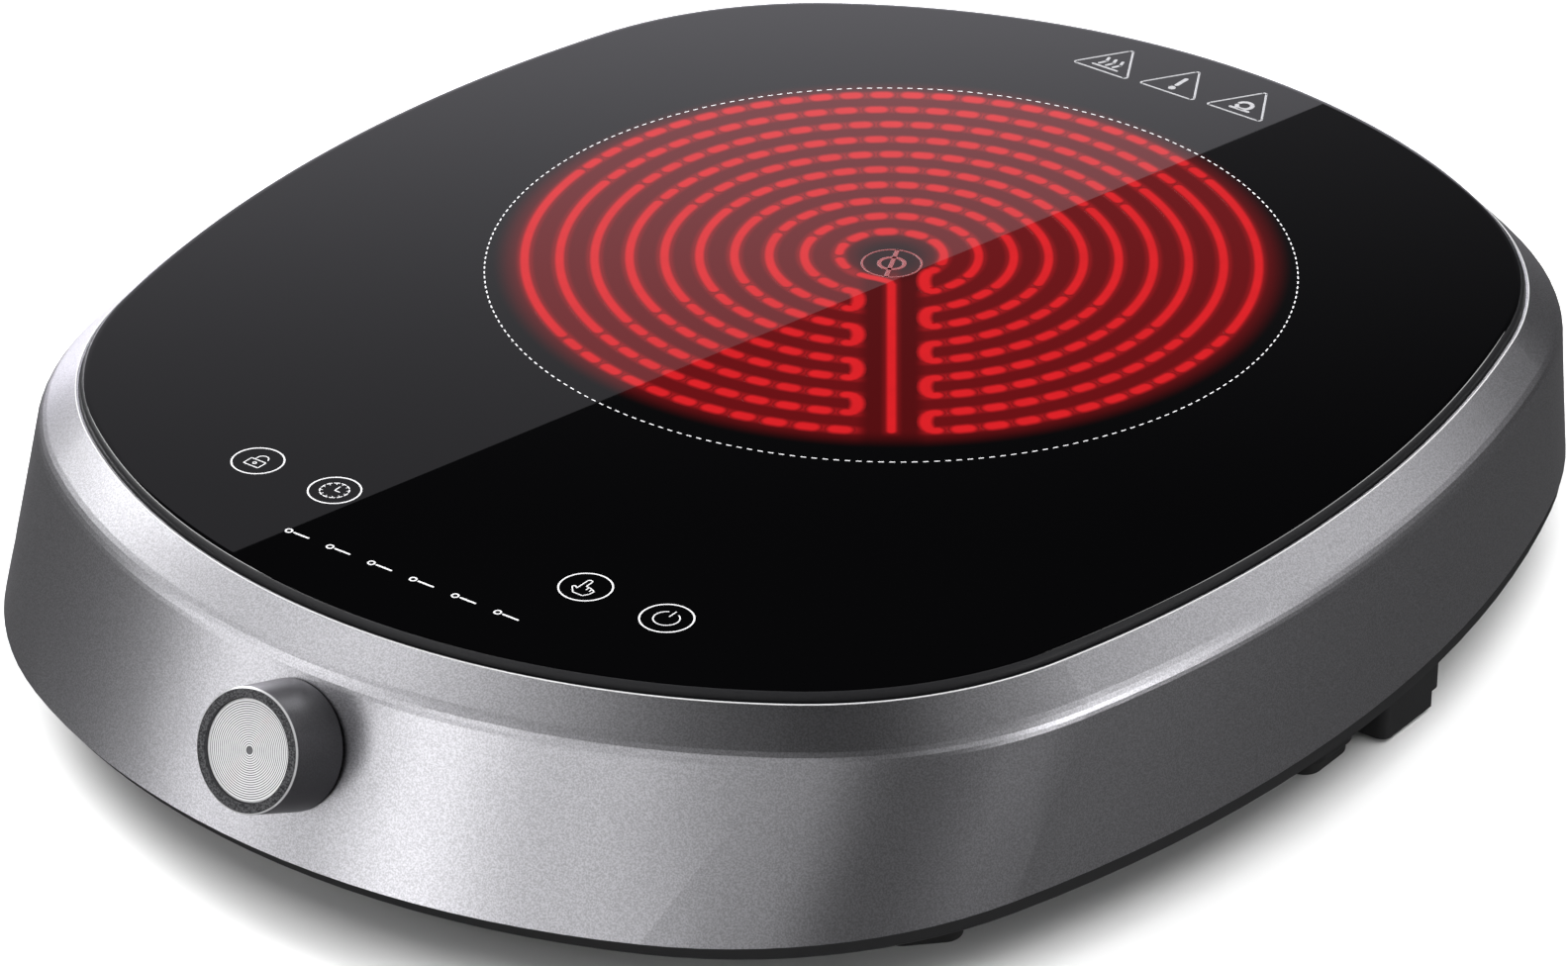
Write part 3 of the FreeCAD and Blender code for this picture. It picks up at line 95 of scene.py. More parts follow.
DASH_SOFT = 0.62                 # share of a strip's half width over which it fades
# Painted glow colours, emitted by the glass and by the strips laid on it.
GLOW_LIGHT = (0.36, 0.0072, 0.0105)      # on a ring, between two dashes
DASH_LIGHT = (0.78, 0.0140, 0.0190)


# ---- Materials ----------------------------------------------------------------------------------

class Graph:
    """A material's nodes, with short calls for arithmetic between them."""

    def __init__(self, name):
        self.material = bpy.data.materials.new(name)
        self.material.use_nodes = True
        self.tree = self.material.node_tree
        self.shader = self.tree.nodes["Principled BSDF"]
        self.coords = self.node("ShaderNodeTexCoord").outputs["Object"]

    def node(self, kind, **settings):
        made = self.tree.nodes.new(kind)
        for key, value in settings.items():
            setattr(made, key, value)
        return made

    def plug(self, value, socket):
        if isinstance(value, bpy.types.NodeSocket):
            self.tree.links.new(value, socket)
        else:
            socket.default_value = value

    def math(self, operation, *values):
        made = self.node("ShaderNodeMath", operation=operation)
        for value, socket in zip(values, made.inputs):
            self.plug(value, socket)
        return made.outputs[0]

    def vector(self, operation, *values):
        made = self.node("ShaderNodeVectorMath", operation=operation)
        for value, socket in zip(values, made.inputs):
            self.plug(value, socket)
        return made

    def fade(self, value, start, end, low=0.0, high=1.0):
        """Goes smoothly from low to high as value goes from start to end."""
        made = self.node("ShaderNodeMapRange", interpolation_type="SMOOTHSTEP", clamp=True)
        for number, entry in enumerate((value, start, end, low, high)):
            self.plug(entry, made.inputs[number])
        return made.outputs[0]

    def noise(self, scale, detail=2.0):
        made = self.node("ShaderNodeTexNoise")
        self.plug(self.coords, made.inputs["Vector"])
        made.inputs["Scale"].default_value = scale
        made.inputs["Detail"].default_value = detail
        return made.outputs["Fac"]

    def core(self):
        """A piece's own 1 on a strip's middle or a groove's crest, falling to 0."""
        return self.node("ShaderNodeAttribute", attribute_name="core").outputs["Fac"]

    def mix(self, share, first, second):
        made = self.node("ShaderNodeMix", data_type="RGBA")
        self.plug(share, made.inputs[0])
        self.plug(colour(first), made.inputs[6])
        self.plug(colour(second), made.inputs[7])
        return made.outputs[2]

    def bump(self, height, strength, distance):
        made = self.node("ShaderNodeBump")
        self.plug(height, made.inputs["Height"])
        made.inputs["Strength"].default_value = strength
        made.inputs["Distance"].default_value = distance
        self.plug(made.outputs[0], self.shader.inputs["Normal"])

    def set(self, **values):
        for key, value in values.items():
            self.plug(colour(value), self.shader.inputs[key.replace("_", " ")])


def colour(value):
    """A three-part colour gets its alpha; anything else is passed through."""
    return (*value, 1.0) if isinstance(value, tuple) and len(value) == 3 else value


def grained(name, base, metallic, roughness, scale, spread=0.06, bump=0.0, mottle=0.0):
    """A surface with fine grain in colour and height, and an optional larger cloudiness."""
    graph = Graph(name)
    grain = graph.noise(scale, 2.0)
    light = tuple(min(1.0, part * (1 + spread)) for part in base)
    dark = tuple(part * (1 - spread) for part in base)
    tone = graph.mix(grain, dark, light)
    if mottle:
        cloud = graph.fade(graph.noise(scale / 40, 3.0), 0.35, 0.65, 0.0, mottle)
        tone = graph.mix(cloud, tone, dark)
    graph.set(Base_Color=tone, Metallic=metallic)
    graph.set(Roughness=graph.fade(grain, 0.2, 0.8, roughness * 0.94, min(1.0, roughness * 1.06)))
    if bump:
        graph.bump(grain, bump, 0.05 * MM)
    return graph


def silver_paint():
    """Fine metallic paint: sparkling flakes over a silver ground."""
    graph = Graph("silver_paint")
    flakes = graph.noise(2600.0, 1.0)
    tone = graph.mix(graph.fade(flakes, 0.3, 0.7), (0.455, 0.450, 0.477), (0.655, 0.648, 0.684))
    graph.set(Base_Color=tone, Metallic=1.0, Roughness=0.35)
    graph.bump(graph.noise(1900.0, 2.0), 0.35, 0.02 * MM)
    return graph.material


def glass_material():
    """Polished black glass with the heater's red light painted into it as emission, spread softly."""
    graph = Graph("black_glass")
    parts = graph.node("ShaderNodeSeparateXYZ")
    graph.plug(graph.coords, parts.inputs[0])
    x = graph.math("SUBTRACT", parts.outputs[0], GLOW.x)
    y = graph.math("SUBTRACT", parts.outputs[1], GLOW.y)
    cos, sin = math.cos(GLOW_TURN), math.sin(GLOW_TURN)
    across = graph.math("ADD", graph.math("MULTIPLY", x, cos), graph.math("MULTIPLY", y, sin))
    along = graph.math("SUBTRACT", graph.math("MULTIPLY", y, cos), graph.math("MULTIPLY", x, sin))
    radius = graph.math("SQRT", graph.math("ADD", graph.math("MULTIPLY", x, x),
                                           graph.math("MULTIPLY", y, y)))
    turn = graph.math("DIVIDE", graph.math("SUBTRACT", radius, RING_FIRST), RING_PITCH)
    nearest = graph.math("MINIMUM", graph.math("MAXIMUM", graph.math("ROUND", turn), 0.0), RINGS - 1.0)
    off_ring = graph.math("MULTIPLY", graph.math("ABSOLUTE", graph.math("SUBTRACT", turn, nearest)),
                          RING_PITCH)
    aside = graph.math("ABSOLUTE", across)
    # In the channel the rings give way to one straight run.
    in_channel = graph.math("MULTIPLY", graph.fade(aside, CHANNEL_HALF - 1 * MM, CHANNEL_HALF - 4.5 * MM),
                            graph.fade(along, 0.0, -6 * MM))
    ring_light = graph.math("MULTIPLY", graph.fade(off_ring, 2.6 * MM, 0.5 * MM),
                            graph.math("SUBTRACT", 1.0, in_channel))
    run_light = graph.math("MULTIPLY", graph.fade(aside, 2.8 * MM, 0.6 * MM),
                           graph.math("MULTIPLY", graph.fade(along, 0.0, -RING_FIRST),
                                      graph.fade(along, -RING_LAST - 3 * MM, -RING_LAST)))
    near = graph.math("MAXIMUM", ring_light, run_light)
    spread = graph.fade(radius, RING_LAST + 8 * MM, RING_LAST - 1 * MM)
    inner = graph.fade(radius, 4 * MM, RING_FIRST + 3 * MM, 0.12, 1.0)
    channel_dim = graph.math("SUBTRACT", 1.0, graph.math("MULTIPLY", in_channel, 0.38))
    ground = graph.math("MULTIPLY", graph.math("MULTIPLY", spread, inner), channel_dim)
    light = graph.math("MULTIPLY", ground, graph.math("ADD", 0.40, graph.math("MULTIPLY", near, 0.60)))
    graph.set(Base_Color=graph.mix(graph.noise(9.0), (0.0004, 0.0004, 0.0005), (0.0006, 0.0006, 0.0007)))
    graph.set(Roughness=graph.fade(graph.noise(30.0, 3.0), 0.3, 0.7, 0.004, 0.008), IOR=1.5)
    # Painted glow: the glass itself emits the heater's red light round the rings and along the run.
    graph.set(Emission_Color=graph.mix(light, (0.0, 0.0, 0.0), GLOW_LIGHT), Emission_Strength=1.0)
    return graph.material


def ground_edge():
    """The glass's ground edge, which hardly shines."""
    graph = grained("ground_edge", (0.010, 0.010, 0.011), 0.0, 0.45, 1800.0, 0.2, 0.3)
    graph.set(Specular_IOR_Level=0.22)
    return graph.material


def knob_metal():
    """Dark metal, with a painted highlight as a bright line where the knob's rim meets its front face, and painted
    shade darkening that front face.
    """
    graph = Graph("knob_gunmetal")
    offset = graph.vector("SUBTRACT", graph.coords, KNOB_SEAT).outputs[0]
    height = graph.vector("DOT_PRODUCT", offset, KNOB_AXIS).outputs["Value"]
    across = graph.vector("CROSS_PRODUCT", offset, KNOB_AXIS).outputs[0]
    radius = graph.vector("LENGTH", across).outputs["Value"]
    front = graph.fade(height, KNOB_LENGTH - 0.55 * MM, KNOB_LENGTH - 0.4 * MM)
    # Painted highlight: a pale, less metallic line where the rim meets the front face.
    rim = graph.math("MULTIPLY", front, graph.fade(radius, KNOB_FRONT - 0.45 * MM, KNOB_FRONT - 0.30 * MM))
    speckle = graph.noise(2400.0, 2.0)
    side = graph.mix(speckle, (0.075, 0.074, 0.08), (0.15, 0.148, 0.16))
    # Painted shade: the front face is coloured darker than the side.
    face = graph.mix(graph.fade(speckle, 0.35, 0.65), (0.022, 0.022, 0.024), (0.10, 0.10, 0.105))
    tone = graph.mix(rim, graph.mix(front, side, face), (0.42, 0.42, 0.43))
    graph.set(Base_Color=tone, Metallic=graph.math("SUBTRACT", 0.85, graph.math("MULTIPLY", rim, 0.5)))
    graph.set(Roughness=graph.fade(speckle, 0.3, 0.7, 0.30, 0.38))
    graph.bump(speckle, 0.25, 0.04 * MM)
    return graph.material


def spun_face():
    """Turned aluminium, painted darker at the bottom of its grooves as painted shade."""
    graph = Graph("spun_face")
    groove_shade_and_grain = graph.math("ADD", graph.core(), graph.math("MULTIPLY", graph.noise(1600.0, 2.0), 0.25))
    # Painted shade: groove bottoms take the dark colour and crests the light one, with random grain on top.
    graph.set(Base_Color=graph.mix(graph.fade(groove_shade_and_grain, 0.1, 1.1), (0.10, 0.10, 0.105), (0.66, 0.66, 0.67)))
    graph.set(Metallic=0.4, Roughness=graph.fade(groove_shade_and_grain, 0.0, 1.2, 0.55, 0.45))
    return graph.material


def dash_material():
    """The strips of painted glow on the glass, brightest along their middle."""
    graph = Graph("glow_dash")
    core = graph.core()
    full = graph.math("SUBTRACT", 1.0, graph.math("MULTIPLY", graph.noise(160.0, 2.0), 0.25))
    heat = graph.math("MULTIPLY", graph.fade(core, 0.0, 1.0), full)
    # Painted glow: dimmer at a strip's rim, brightest along its middle.
    rim = tuple(part * 0.62 for part in GLOW_LIGHT)
    graph.set(Base_Color=(0.0006, 0.0005, 0.0006), Roughness=0.006, IOR=1.5)
    graph.set(Emission_Color=graph.mix(heat, rim, DASH_LIGHT), Emission_Strength=1.0)
    return graph.material


def ink(name, base):
    """Fired-on printing, very slightly uneven."""
    return grained(name, base, 0.0, 0.35, 1500.0, 0.05, 0.1).material


def glowing_coil():
    """The real coil under the glass, red hot."""
    graph = grained("coil_alloy", (0.35, 0.06, 0.05), 0.6, 0.5, 900.0, 0.1)
    heat = graph.mix(graph.noise(300.0), (0.5, 0.02, 0.02), (0.86, 0.11, 0.08))
    graph.set(Emission_Color=heat, Emission_Strength=1.0)
    return graph.material


# Plain surfaces: base colour, metallic, roughness, grain scale, then spread, bump and mottle.
GRAINED = {
    # A pale bead colour: a painted highlight along the lip's edge.
    "painted_lip_highlight": ((0.56, 0.56, 0.57), 0.1, 0.30, 1800.0, 0.05),
    "black_moulding": ((0.012, 0.012, 0.013), 0.0, 0.48, 1400.0, 0.15, 0.5),
    "silicone_seal": ((0.006, 0.006, 0.007), 0.0, 0.45, 900.0, 0.2, 0.2),
    "rubber_feet": ((0.014, 0.014, 0.014), 0.0, 0.70, 900.0, 0.25, 0.5, 0.5),
    "spun_aluminium": ((0.80, 0.80, 0.81), 1.0, 0.26, 2200.0, 0.05, 0.1),
    "zinc_steel": ((0.55, 0.56, 0.58), 1.0, 0.34, 600.0, 0.06, 0.1, 0.4),
    "heater_insulation": ((0.80, 0.77, 0.70), 0.0, 0.92, 500.0, 0.08, 0.8, 0.4),
    "limiter_ceramic": ((0.86, 0.84, 0.79), 0.0, 0.55, 700.0, 0.04, 0.2),
    "board_green": ((0.02, 0.13, 0.06), 0.0, 0.38, 420.0, 0.18, 0.3, 0.6),
    "component_black": ((0.02, 0.02, 0.021), 0.0, 0.45, 1100.0, 0.2, 0.4),
    "capacitor_box": ((0.55, 0.38, 0.05), 0.0, 0.32, 500.0, 0.05, 0.1, 0.3),
    "touch_sponge": ((0.05, 0.05, 0.055), 0.0, 0.85, 800.0, 0.3, 0.9),
    "led_lens": ((0.55, 0.03, 0.02), 0.0, 0.18, 300.0, 0.05),
    "bare_aluminium": ((0.72, 0.73, 0.74), 1.0, 0.35, 700.0, 0.05, 0.2, 0.3),
    "copper_winding": ((0.55, 0.22, 0.08), 0.9, 0.35, 1500.0, 0.15, 0.6),
    "fuse_glass": ((0.75, 0.78, 0.77), 0.0, 0.12, 200.0, 0.04),
}
INKS = {"white_ink": (0.60, 0.60, 0.61), "grey_ink": (0.27, 0.27, 0.28), "red_ink": (0.16, 0.028, 0.03)}
MATERIALS = {
    "silver_paint": silver_paint(), "black_glass": glass_material(), "ground_edge": ground_edge(),
    "knob_gunmetal": knob_metal(), "spun_face": spun_face(), "glow_dash": dash_material(),
    "coil_alloy": glowing_coil(),
    **{name: grained(name, *look).material for name, look in GRAINED.items()},
    **{name: ink(name, base) for name, base in INKS.items()},
}


def paint_nodes():
    """Every CAD node takes the material of its slot in the record."""
    for part in frame["record"]["subparts"]:
        made = nodes[part["node"]]
        for holder in made.material_slots:
            holder.link = "OBJECT"
            holder.material = MATERIALS[part["material_slot"]]


# ---- Mesh making --------------------------------------------------------------------------------

class Mesh:
    """Vertices and faces gathered for one piece."""

    def __init__(self):
        self.points, self.faces, self.kinds, self.core = [], [], [], []

    def add(self, points, core=0.0):
        """Adds points and returns their numbers."""
        first = len(self.points)
        self.points += [tuple(point) for point in points]
        self.core += [core] * len(points)
        return list(range(first, len(self.points)))

    def face(self, corners, kind=0):
        self.faces.append(tuple(corners))
        self.kinds.append(kind)

    def band(self, low, high, kind=0):
        """Quads between two closed rings of the same count."""
        for n in range(len(low)):
            m = (n + 1) % len(low)
            self.face((low[n], low[m], high[m], high[n]), kind)

    def piece(self, name, materials, body, slot, smooth=True, replaces=()):
        mesh = bpy.data.meshes.new(name)
        mesh.from_pydata(self.points, [], self.faces)
        for material in materials:
            mesh.materials.append(MATERIALS[material])
        mesh.polygons.foreach_set("material_index", self.kinds)
        mesh.polygons.foreach_set("use_smooth", [smooth] * len(self.faces))
        attribute = mesh.attributes.new("core", "FLOAT", "POINT")
        attribute.data.foreach_set("value", self.core)
        mesh.validate()
        mesh.update()
        made = bpy.data.objects.new(name, mesh)
        bpy.context.scene.collection.objects.link(made)
        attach(made, body)
        if replaces:
            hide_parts(*replaces)
        return made


def outline(node, z, count, centre):
    """A CAD node's outline at a height, as evenly spread points with their outward normals."""
    corners = {(round(v.co.x, 7), round(v.co.y, 7)) for v in nodes[node].data.vertices
               if abs(v.co.z - z) < 1e-6}
    ring = np.array(sorted(corners, key=lambda p: math.atan2(p[1] - centre[1], p[0] - centre[0])))
    before, after, beyond = np.roll(ring, 1, 0), np.roll(ring, -1, 0), np.roll(ring, -2, 0)
    fine = []
    for t in np.arange(0, 1, 0.05):
        fine.append(0.5 * (2 * ring + (after - before) * t
                           + (2 * before - 5 * ring + 4 * after - beyond) * t ** 2
                           + (3 * ring - before - 3 * after + beyond) * t ** 3))
    fine = np.stack(fine, 1).reshape(-1, 2)
    closed = np.vstack([fine, fine[:1]])
    run = np.concatenate([[0], np.cumsum(np.linalg.norm(np.diff(closed, axis=0), axis=1))])
    at = np.linspace(0, run[-1], count, endpoint=False)
    even = np.stack([np.interp(at, run, closed[:, n]) for n in (0, 1)], 1)
    tangent = np.roll(even, -3, 0) - np.roll(even, 3, 0)
    normal = np.stack([tangent[:, 1], -tangent[:, 0]], 1)
    return even, normal / np.linalg.norm(normal, axis=1)[:, None]


def glass_outline():
    """The outline of the glass's flat face and its outward normals."""
    low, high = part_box("glass_top")
    return outline("glass_top", high.z, 720, ((low.x + high.x) / 2, (low.y + high.y) / 2))


def lip_bead():
    """The bright line along the inner edge of the painted housing's lip: a pale bead that is a painted highlight.
    """
    edge, normal = glass_outline()
    mesh = Mesh()
    rings = []
    for n in range(LIP_SIDES):
        angle = 2 * math.pi * n / LIP_SIDES
        ring = edge + normal * (LIP_OUT + LIP_BEAD * math.cos(angle))
        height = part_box("upper_housing")[1].z + LIP_BEAD * math.sin(angle)
        rings.append(mesh.add([(x, y, height) for x, y in ring]))
    for first, second in zip(rings, rings[1:] + rings[:1]):
        mesh.band(first, second)
    return mesh.piece("lip_bead", ["painted_lip_highlight"], "housing", "silver_paint")


def glass_plate():
    """The glass, with a ground and rounded edge."""
    edge, normal = glass_outline()
    mesh = Mesh()
    # How far each ring is outside the flat face and below the top, and whether its band is ground.
    profile = [(-1.2, GLASS_DROP, 0), (-0.15, GLASS_DROP, 0), (0.06, 0.10, 0), (0.30, 0.26, 1),
               (0.62, 0.58, 1), (0.86, 0.92, 1), (0.99, 1.40, 1), (1.0, 1.8, 1), (1.0, 3.7, 1),
               (0.8, 3.98, 1), (0.5, 4.0, 1)]
    rings = []
    for out, drop, kind in profile:
        ring = edge + normal * out * MM
        rings.append((mesh.add([(x, y, TOP - drop * MM) for x, y in ring]), kind))
    for (first, _), (second, kind) in zip(rings, rings[1:]):
        mesh.band(second, first, kind)
    mesh.face(rings[0][0])
    mesh.face(reversed(rings[-1][0]), 1)
    return mesh.piece("glass_plate", ["black_glass", "ground_edge"], "housing", "black_glass",
                      replaces=["glass_top"])


def strip_sides(path, half):
    """The two sides of a strip of the given half width along a path of points."""
    path = np.array(path, float)
    tangent = np.gradient(path, axis=0)
    tangent /= np.linalg.norm(tangent, axis=1)[:, None]
    across = np.stack([-tangent[:, 1], tangent[:, 0]], 1)
    return path + across * half, path - across * half, tangent


def capsule(path, half, cap=6):
    """The outline of a round-ended strip along a path, anticlockwise."""
    left, right, tangent = strip_sides(path, half)
    halves = np.ravel(half * np.ones((len(path), 1)))
    ends = []
    for point, way, r in ((path[-1], tangent[-1], halves[-1]), (path[0], -tangent[0], halves[0])):
        start = math.atan2(way[1], way[0]) - math.pi / 2
        ends.append([(point[0] + r * math.cos(start + math.pi * n / cap),
                      point[1] + r * math.sin(start + math.pi * n / cap)) for n in range(1, cap)])
    return [*map(tuple, right), *ends[0], *map(tuple, left[::-1]), *ends[1]]


def add_strip(mesh, path, half, top, soft=0.0):
    """A closed raised strip on the glass; with soft, it is flat and its rim fades."""
    outer, flat = capsule(path, half), np.any(soft)
    bottom = mesh.add([(x, y, STRIP_BASE) for x, y in outer])
    rim = mesh.add([(x, y, top if flat else STRIP_RIM) for x, y in outer])
    inner = capsule(path, half - (soft if flat else STRIP_SLOPE))
    crown = mesh.add([(x, y, top) for x, y in inner], 1.0)
    mesh.band(bottom, rim)
    mesh.band(rim, crown)
    mesh.face(crown)
    mesh.face(reversed(bottom))


def arc(centre, radius, start, end, steps=None):
    """Points along a circular arc; the angles are in radians."""
    steps = steps or max(3, int(abs(end - start) * 12))
    return [(centre[0] + radius * math.cos(a), centre[1] + radius * math.sin(a))
            for a in np.linspace(start, end, steps + 1)]


# ---- Glow ---------------------------------------------------------------------------------------

def in_frame(points):
    """Points of the heater's own layout, its channel along -Y, carried to their place."""
    cos, sin = math.cos(GLOW_TURN), math.sin(GLOW_TURN)
    return [(GLOW.x + x * cos - y * sin, GLOW.y + x * sin + y * cos) for x, y in points]


def ring_angle(radius, distance):
    """The angle from the channel's middle line at a distance along the ring from its turn."""
    return math.asin(CHANNEL_HALF / radius) + distance / radius


def glow_dashes():
    """Painted glow on the glass for the ribbon seen through it: dashes round the rings, curved ones where it turns
    back.
    """
    mesh = Mesh()
    run_half, top = RUN_WIDTH / 2, GLASS_FACE + 0.01 * MM

    def lay(points, half):
        add_strip(mesh, in_frame(points), half, top, DASH_SOFT * half)

    def ring_half(angle):
        """Half the ribbon's width at an angle round the ring."""
        return math.hypot(DASH_WIDTH * math.sin(angle), RUN_WIDTH * math.cos(angle)) / 2

    for n in range(RINGS):
        radius = RING_FIRST + RING_PITCH * n
        # The first ring and the last each have one end that joins no turn.
        free_end = {0: 0.5 * MM, RINGS - 1: -1.6 * MM}.get(n, TURN_ARM + DASH_GAP)
        start = DOWN + ring_angle(radius, TURN_ARM + DASH_GAP)
        end = DOWN + 2 * math.pi - ring_angle(radius, free_end)
        length = (end - start) * radius + DASH_GAP
        count = max(2, round(length / DASH_PITCH))
        step = length / count
        joined_from = None
        for k in range(count):
            middle = start + (k + 0.5) * step / radius
            half = ring_half(middle)
            if abs(math.sin(middle)) < JOINED_BELOW and k + 1 < count:
                joined_from = k if joined_from is None else joined_from
                continue
            if joined_from is not None:
                a, b = start + joined_from * step / radius, start + k * step / radius
                lay(arc((0, 0), radius, a + run_half / radius, b - (DASH_GAP + run_half) / radius, 40),
                    np.array([[ring_half(t)] for t in np.linspace(a, b, 41)]))
                joined_from = None
            first = start + (k * step + half) / radius
            last = start + ((k + 1) * step - DASH_GAP - half) / radius
            lay(arc((0, 0), radius, first, last, max(3, int((last - first) * 14))), half)
        if n + 1 < RINGS:
            side = 1 if n % 2 == 0 else -1
            lay(turn_back(radius, radius + RING_PITCH, side, TURN_ARM - TURN_HALF), TURN_HALF)
    bend = [(-math.sin(a) * RING_FIRST, -math.cos(a) * RING_FIRST) for a in (0.62, 0.45, 0.28)]
    bend += [(-1.6 * MM, -RING_FIRST - 0.5 * MM), (-0.5 * MM, -RING_FIRST - 1.2 * MM)]
    run = np.linspace(RING_FIRST + 2.6 * MM, RING_LAST + 1.2 * MM - run_half, 20)
    lay(bend + [(0.0, -distance) for distance in run], run_half)
    return mesh.piece("glow_dashes", ["glow_dash"], "housing", "coil_alloy", smooth=False)


def turn_back(inner, outer, side, arm):
    """The path of a curved dash that joins two rings beside the channel."""
    def on_ring(radius, distance):
        angle = DOWN + side * ring_angle(radius, distance)
        return (radius * math.cos(angle), radius * math.sin(angle))

    near = [on_ring(inner, d) for d in np.linspace(arm, 0, 4)]
    far = [on_ring(outer, d) for d in np.linspace(0, arm, 4)]
    a, b = np.array(near[-1]), np.array(far[0])
    middle, half = (a + b) / 2, (b - a) / 2
    bend = [tuple(middle + half * -math.cos(t) + np.array((-side * TURN_BULGE * math.sin(t), 0)))
            for t in np.linspace(0, math.pi, 9)[1:-1]]
    return near + bend + far


# ---- Printed marks ------------------------------------------------------------------------------

class Print:
    """Raised printing on the glass: strokes and dots, placed about a point."""

    def __init__(self, half):
        self.mesh, self.half, self.at, self.turn = Mesh(), half * MM, (0.0, 0.0), 0.0

    def place(self, x, y, turn=0.0):
        """Where the next strokes' own origin lies, in millimetres from the cooking circle's centre."""
        self.at, self.turn = (CIRCLE.x + x * MM, CIRCLE.y + y * MM), math.radians(turn)

    def stroke(self, points, half=None):
        cos, sin = math.cos(self.turn), math.sin(self.turn)
        path = [(self.at[0] + (x * cos - y * sin) * MM, self.at[1] + (x * sin + y * cos) * MM)
                for x, y in points]
        add_strip(self.mesh, path, half * MM if half else self.half, TOP)

    def line(self, *corners, half=None):
        """Straight strokes from corner to corner."""
        for a, b in zip(corners, corners[1:]):
            self.stroke([(a[0] + (b[0] - a[0]) * t, a[1] + (b[1] - a[1]) * t) for t in (0, 0.33, 0.67, 1)],
                        half)

    def arc(self, x, y, radius, start, end, half=None):
        """An arc; the angles are in degrees."""
        self.stroke(arc((x, y), radius, math.radians(start), math.radians(end)), half)

    def ring(self, x, y, radius, half=None):
        half = half * MM if half else self.half
        centre = (self.at[0] + x * MM, self.at[1] + y * MM)
        count = max(24, int(radius * 10))
        around = [2 * math.pi * n / count for n in range(count)]
        rings = []
        for offset, z in ((half, STRIP_BASE), (half, STRIP_RIM), (half - STRIP_SLOPE, TOP),
                          (-half + STRIP_SLOPE, TOP), (-half, STRIP_RIM), (-half, STRIP_BASE)):
            rings.append(self.mesh.add([(centre[0] + (radius * MM + offset) * math.cos(a),
                                         centre[1] + (radius * MM + offset) * math.sin(a), z)
                                        for a in around]))
        for first, second in zip(rings, rings[1:] + rings[:1]):
            self.mesh.band(first, second)

    def finish(self, name, material):
        return self.mesh.piece(name, [material], "housing", "black_glass", smooth=False)


# Places in millimetres from the cooking circle's centre.
KEY_Y = -160.9
KEYS = {"lock": -56.2, "timer": -34.0, "touch": 36.4, "power": 58.4}
KEY_RING = 5.9                   # a key's radius
SETTING_FIRST_X, SETTING_Y, SETTING_PITCH = -27.9, -180.6, 11.68
TRIANGLES_X, TRIANGLES_Y, TRIANGLES_TURN = (-20.8, -1.0, 18.8), 116.1, -1.5


def touch_keys():
    mark = Print(0.15)
    for x in KEYS.values():
        mark.place(x, KEY_Y)
        mark.ring(0, 0, KEY_RING, 0.2)
    mark.place(KEYS["lock"], KEY_Y)
    mark.line((-2.1, -2.5), (2.1, -2.5), (2.1, 0.3), (-2.1, 0.3), (-2.1, -2.5))
    mark.arc(0.3, 1.2, 1.4, 10, 190)
    mark.line((-1.1, 0.9), (-1.1, 0.3))
    mark.ring(0, -1.1, 0.4, 0.14)
    mark.place(KEYS["timer"], KEY_Y)
    for n in range(12):
        a = math.radians(n * 30)
        mark.arc(0, 0, 3.3, n * 30 - 10, n * 30 + 10)
        mark.line((2.7 * math.cos(a), 2.7 * math.sin(a)), (3.0 * math.cos(a), 3.0 * math.sin(a)), half=0.1)
    mark.line((0, 1.9), (0, 0), (1.4, 0))
    mark.place(KEYS["touch"], KEY_Y)
    mark.arc(-0.7, 2.3, 0.6, 0, 180)
    mark.line((-0.1, 2.3), (-0.1, 0.4), (1.6, 0.1), (2.7, -0.5), (2.5, -2.0), (1.7, -3.3), (-0.9, -3.3),
              (-2.6, -1.4), (-2.2, -0.8), (-1.3, -1.4), (-1.3, 2.3))
    mark.line((0.8, 0.2), (0.8, -0.8))
    mark.line((1.75, 0.0), (1.75, -0.9))
    mark.place(KEYS["power"], KEY_Y)
    mark.arc(0, -0.1, 2.9, 118, 422)
    mark.line((0, 0.9), (0, 3.3))
    return mark.finish("touch_key_marks", "white_ink")


def setting_marks():
    """Six plain marks, one over each indicator."""
    mark = Print(0.2)
    for n in range(6):
        mark.place(SETTING_FIRST_X + SETTING_PITCH * n, SETTING_Y)
        mark.ring(-2.4, 0.0, 0.75)
        mark.line((-0.9, 0.0), (3.1, 0.0), half=0.26)
    return mark.finish("setting_marks", "white_ink")


def cooking_circle():
    mark = Print(0.17)
    mark.place(0, 0)
    pitch = 360 / CIRCLE_DASHES
    for n in range(CIRCLE_DASHES):
        mark.arc(0, 0, CIRCLE_RADIUS / MM, n * pitch, (n + CIRCLE_DASH_SHARE) * pitch)
    return mark.finish("cooking_circle", "white_ink")


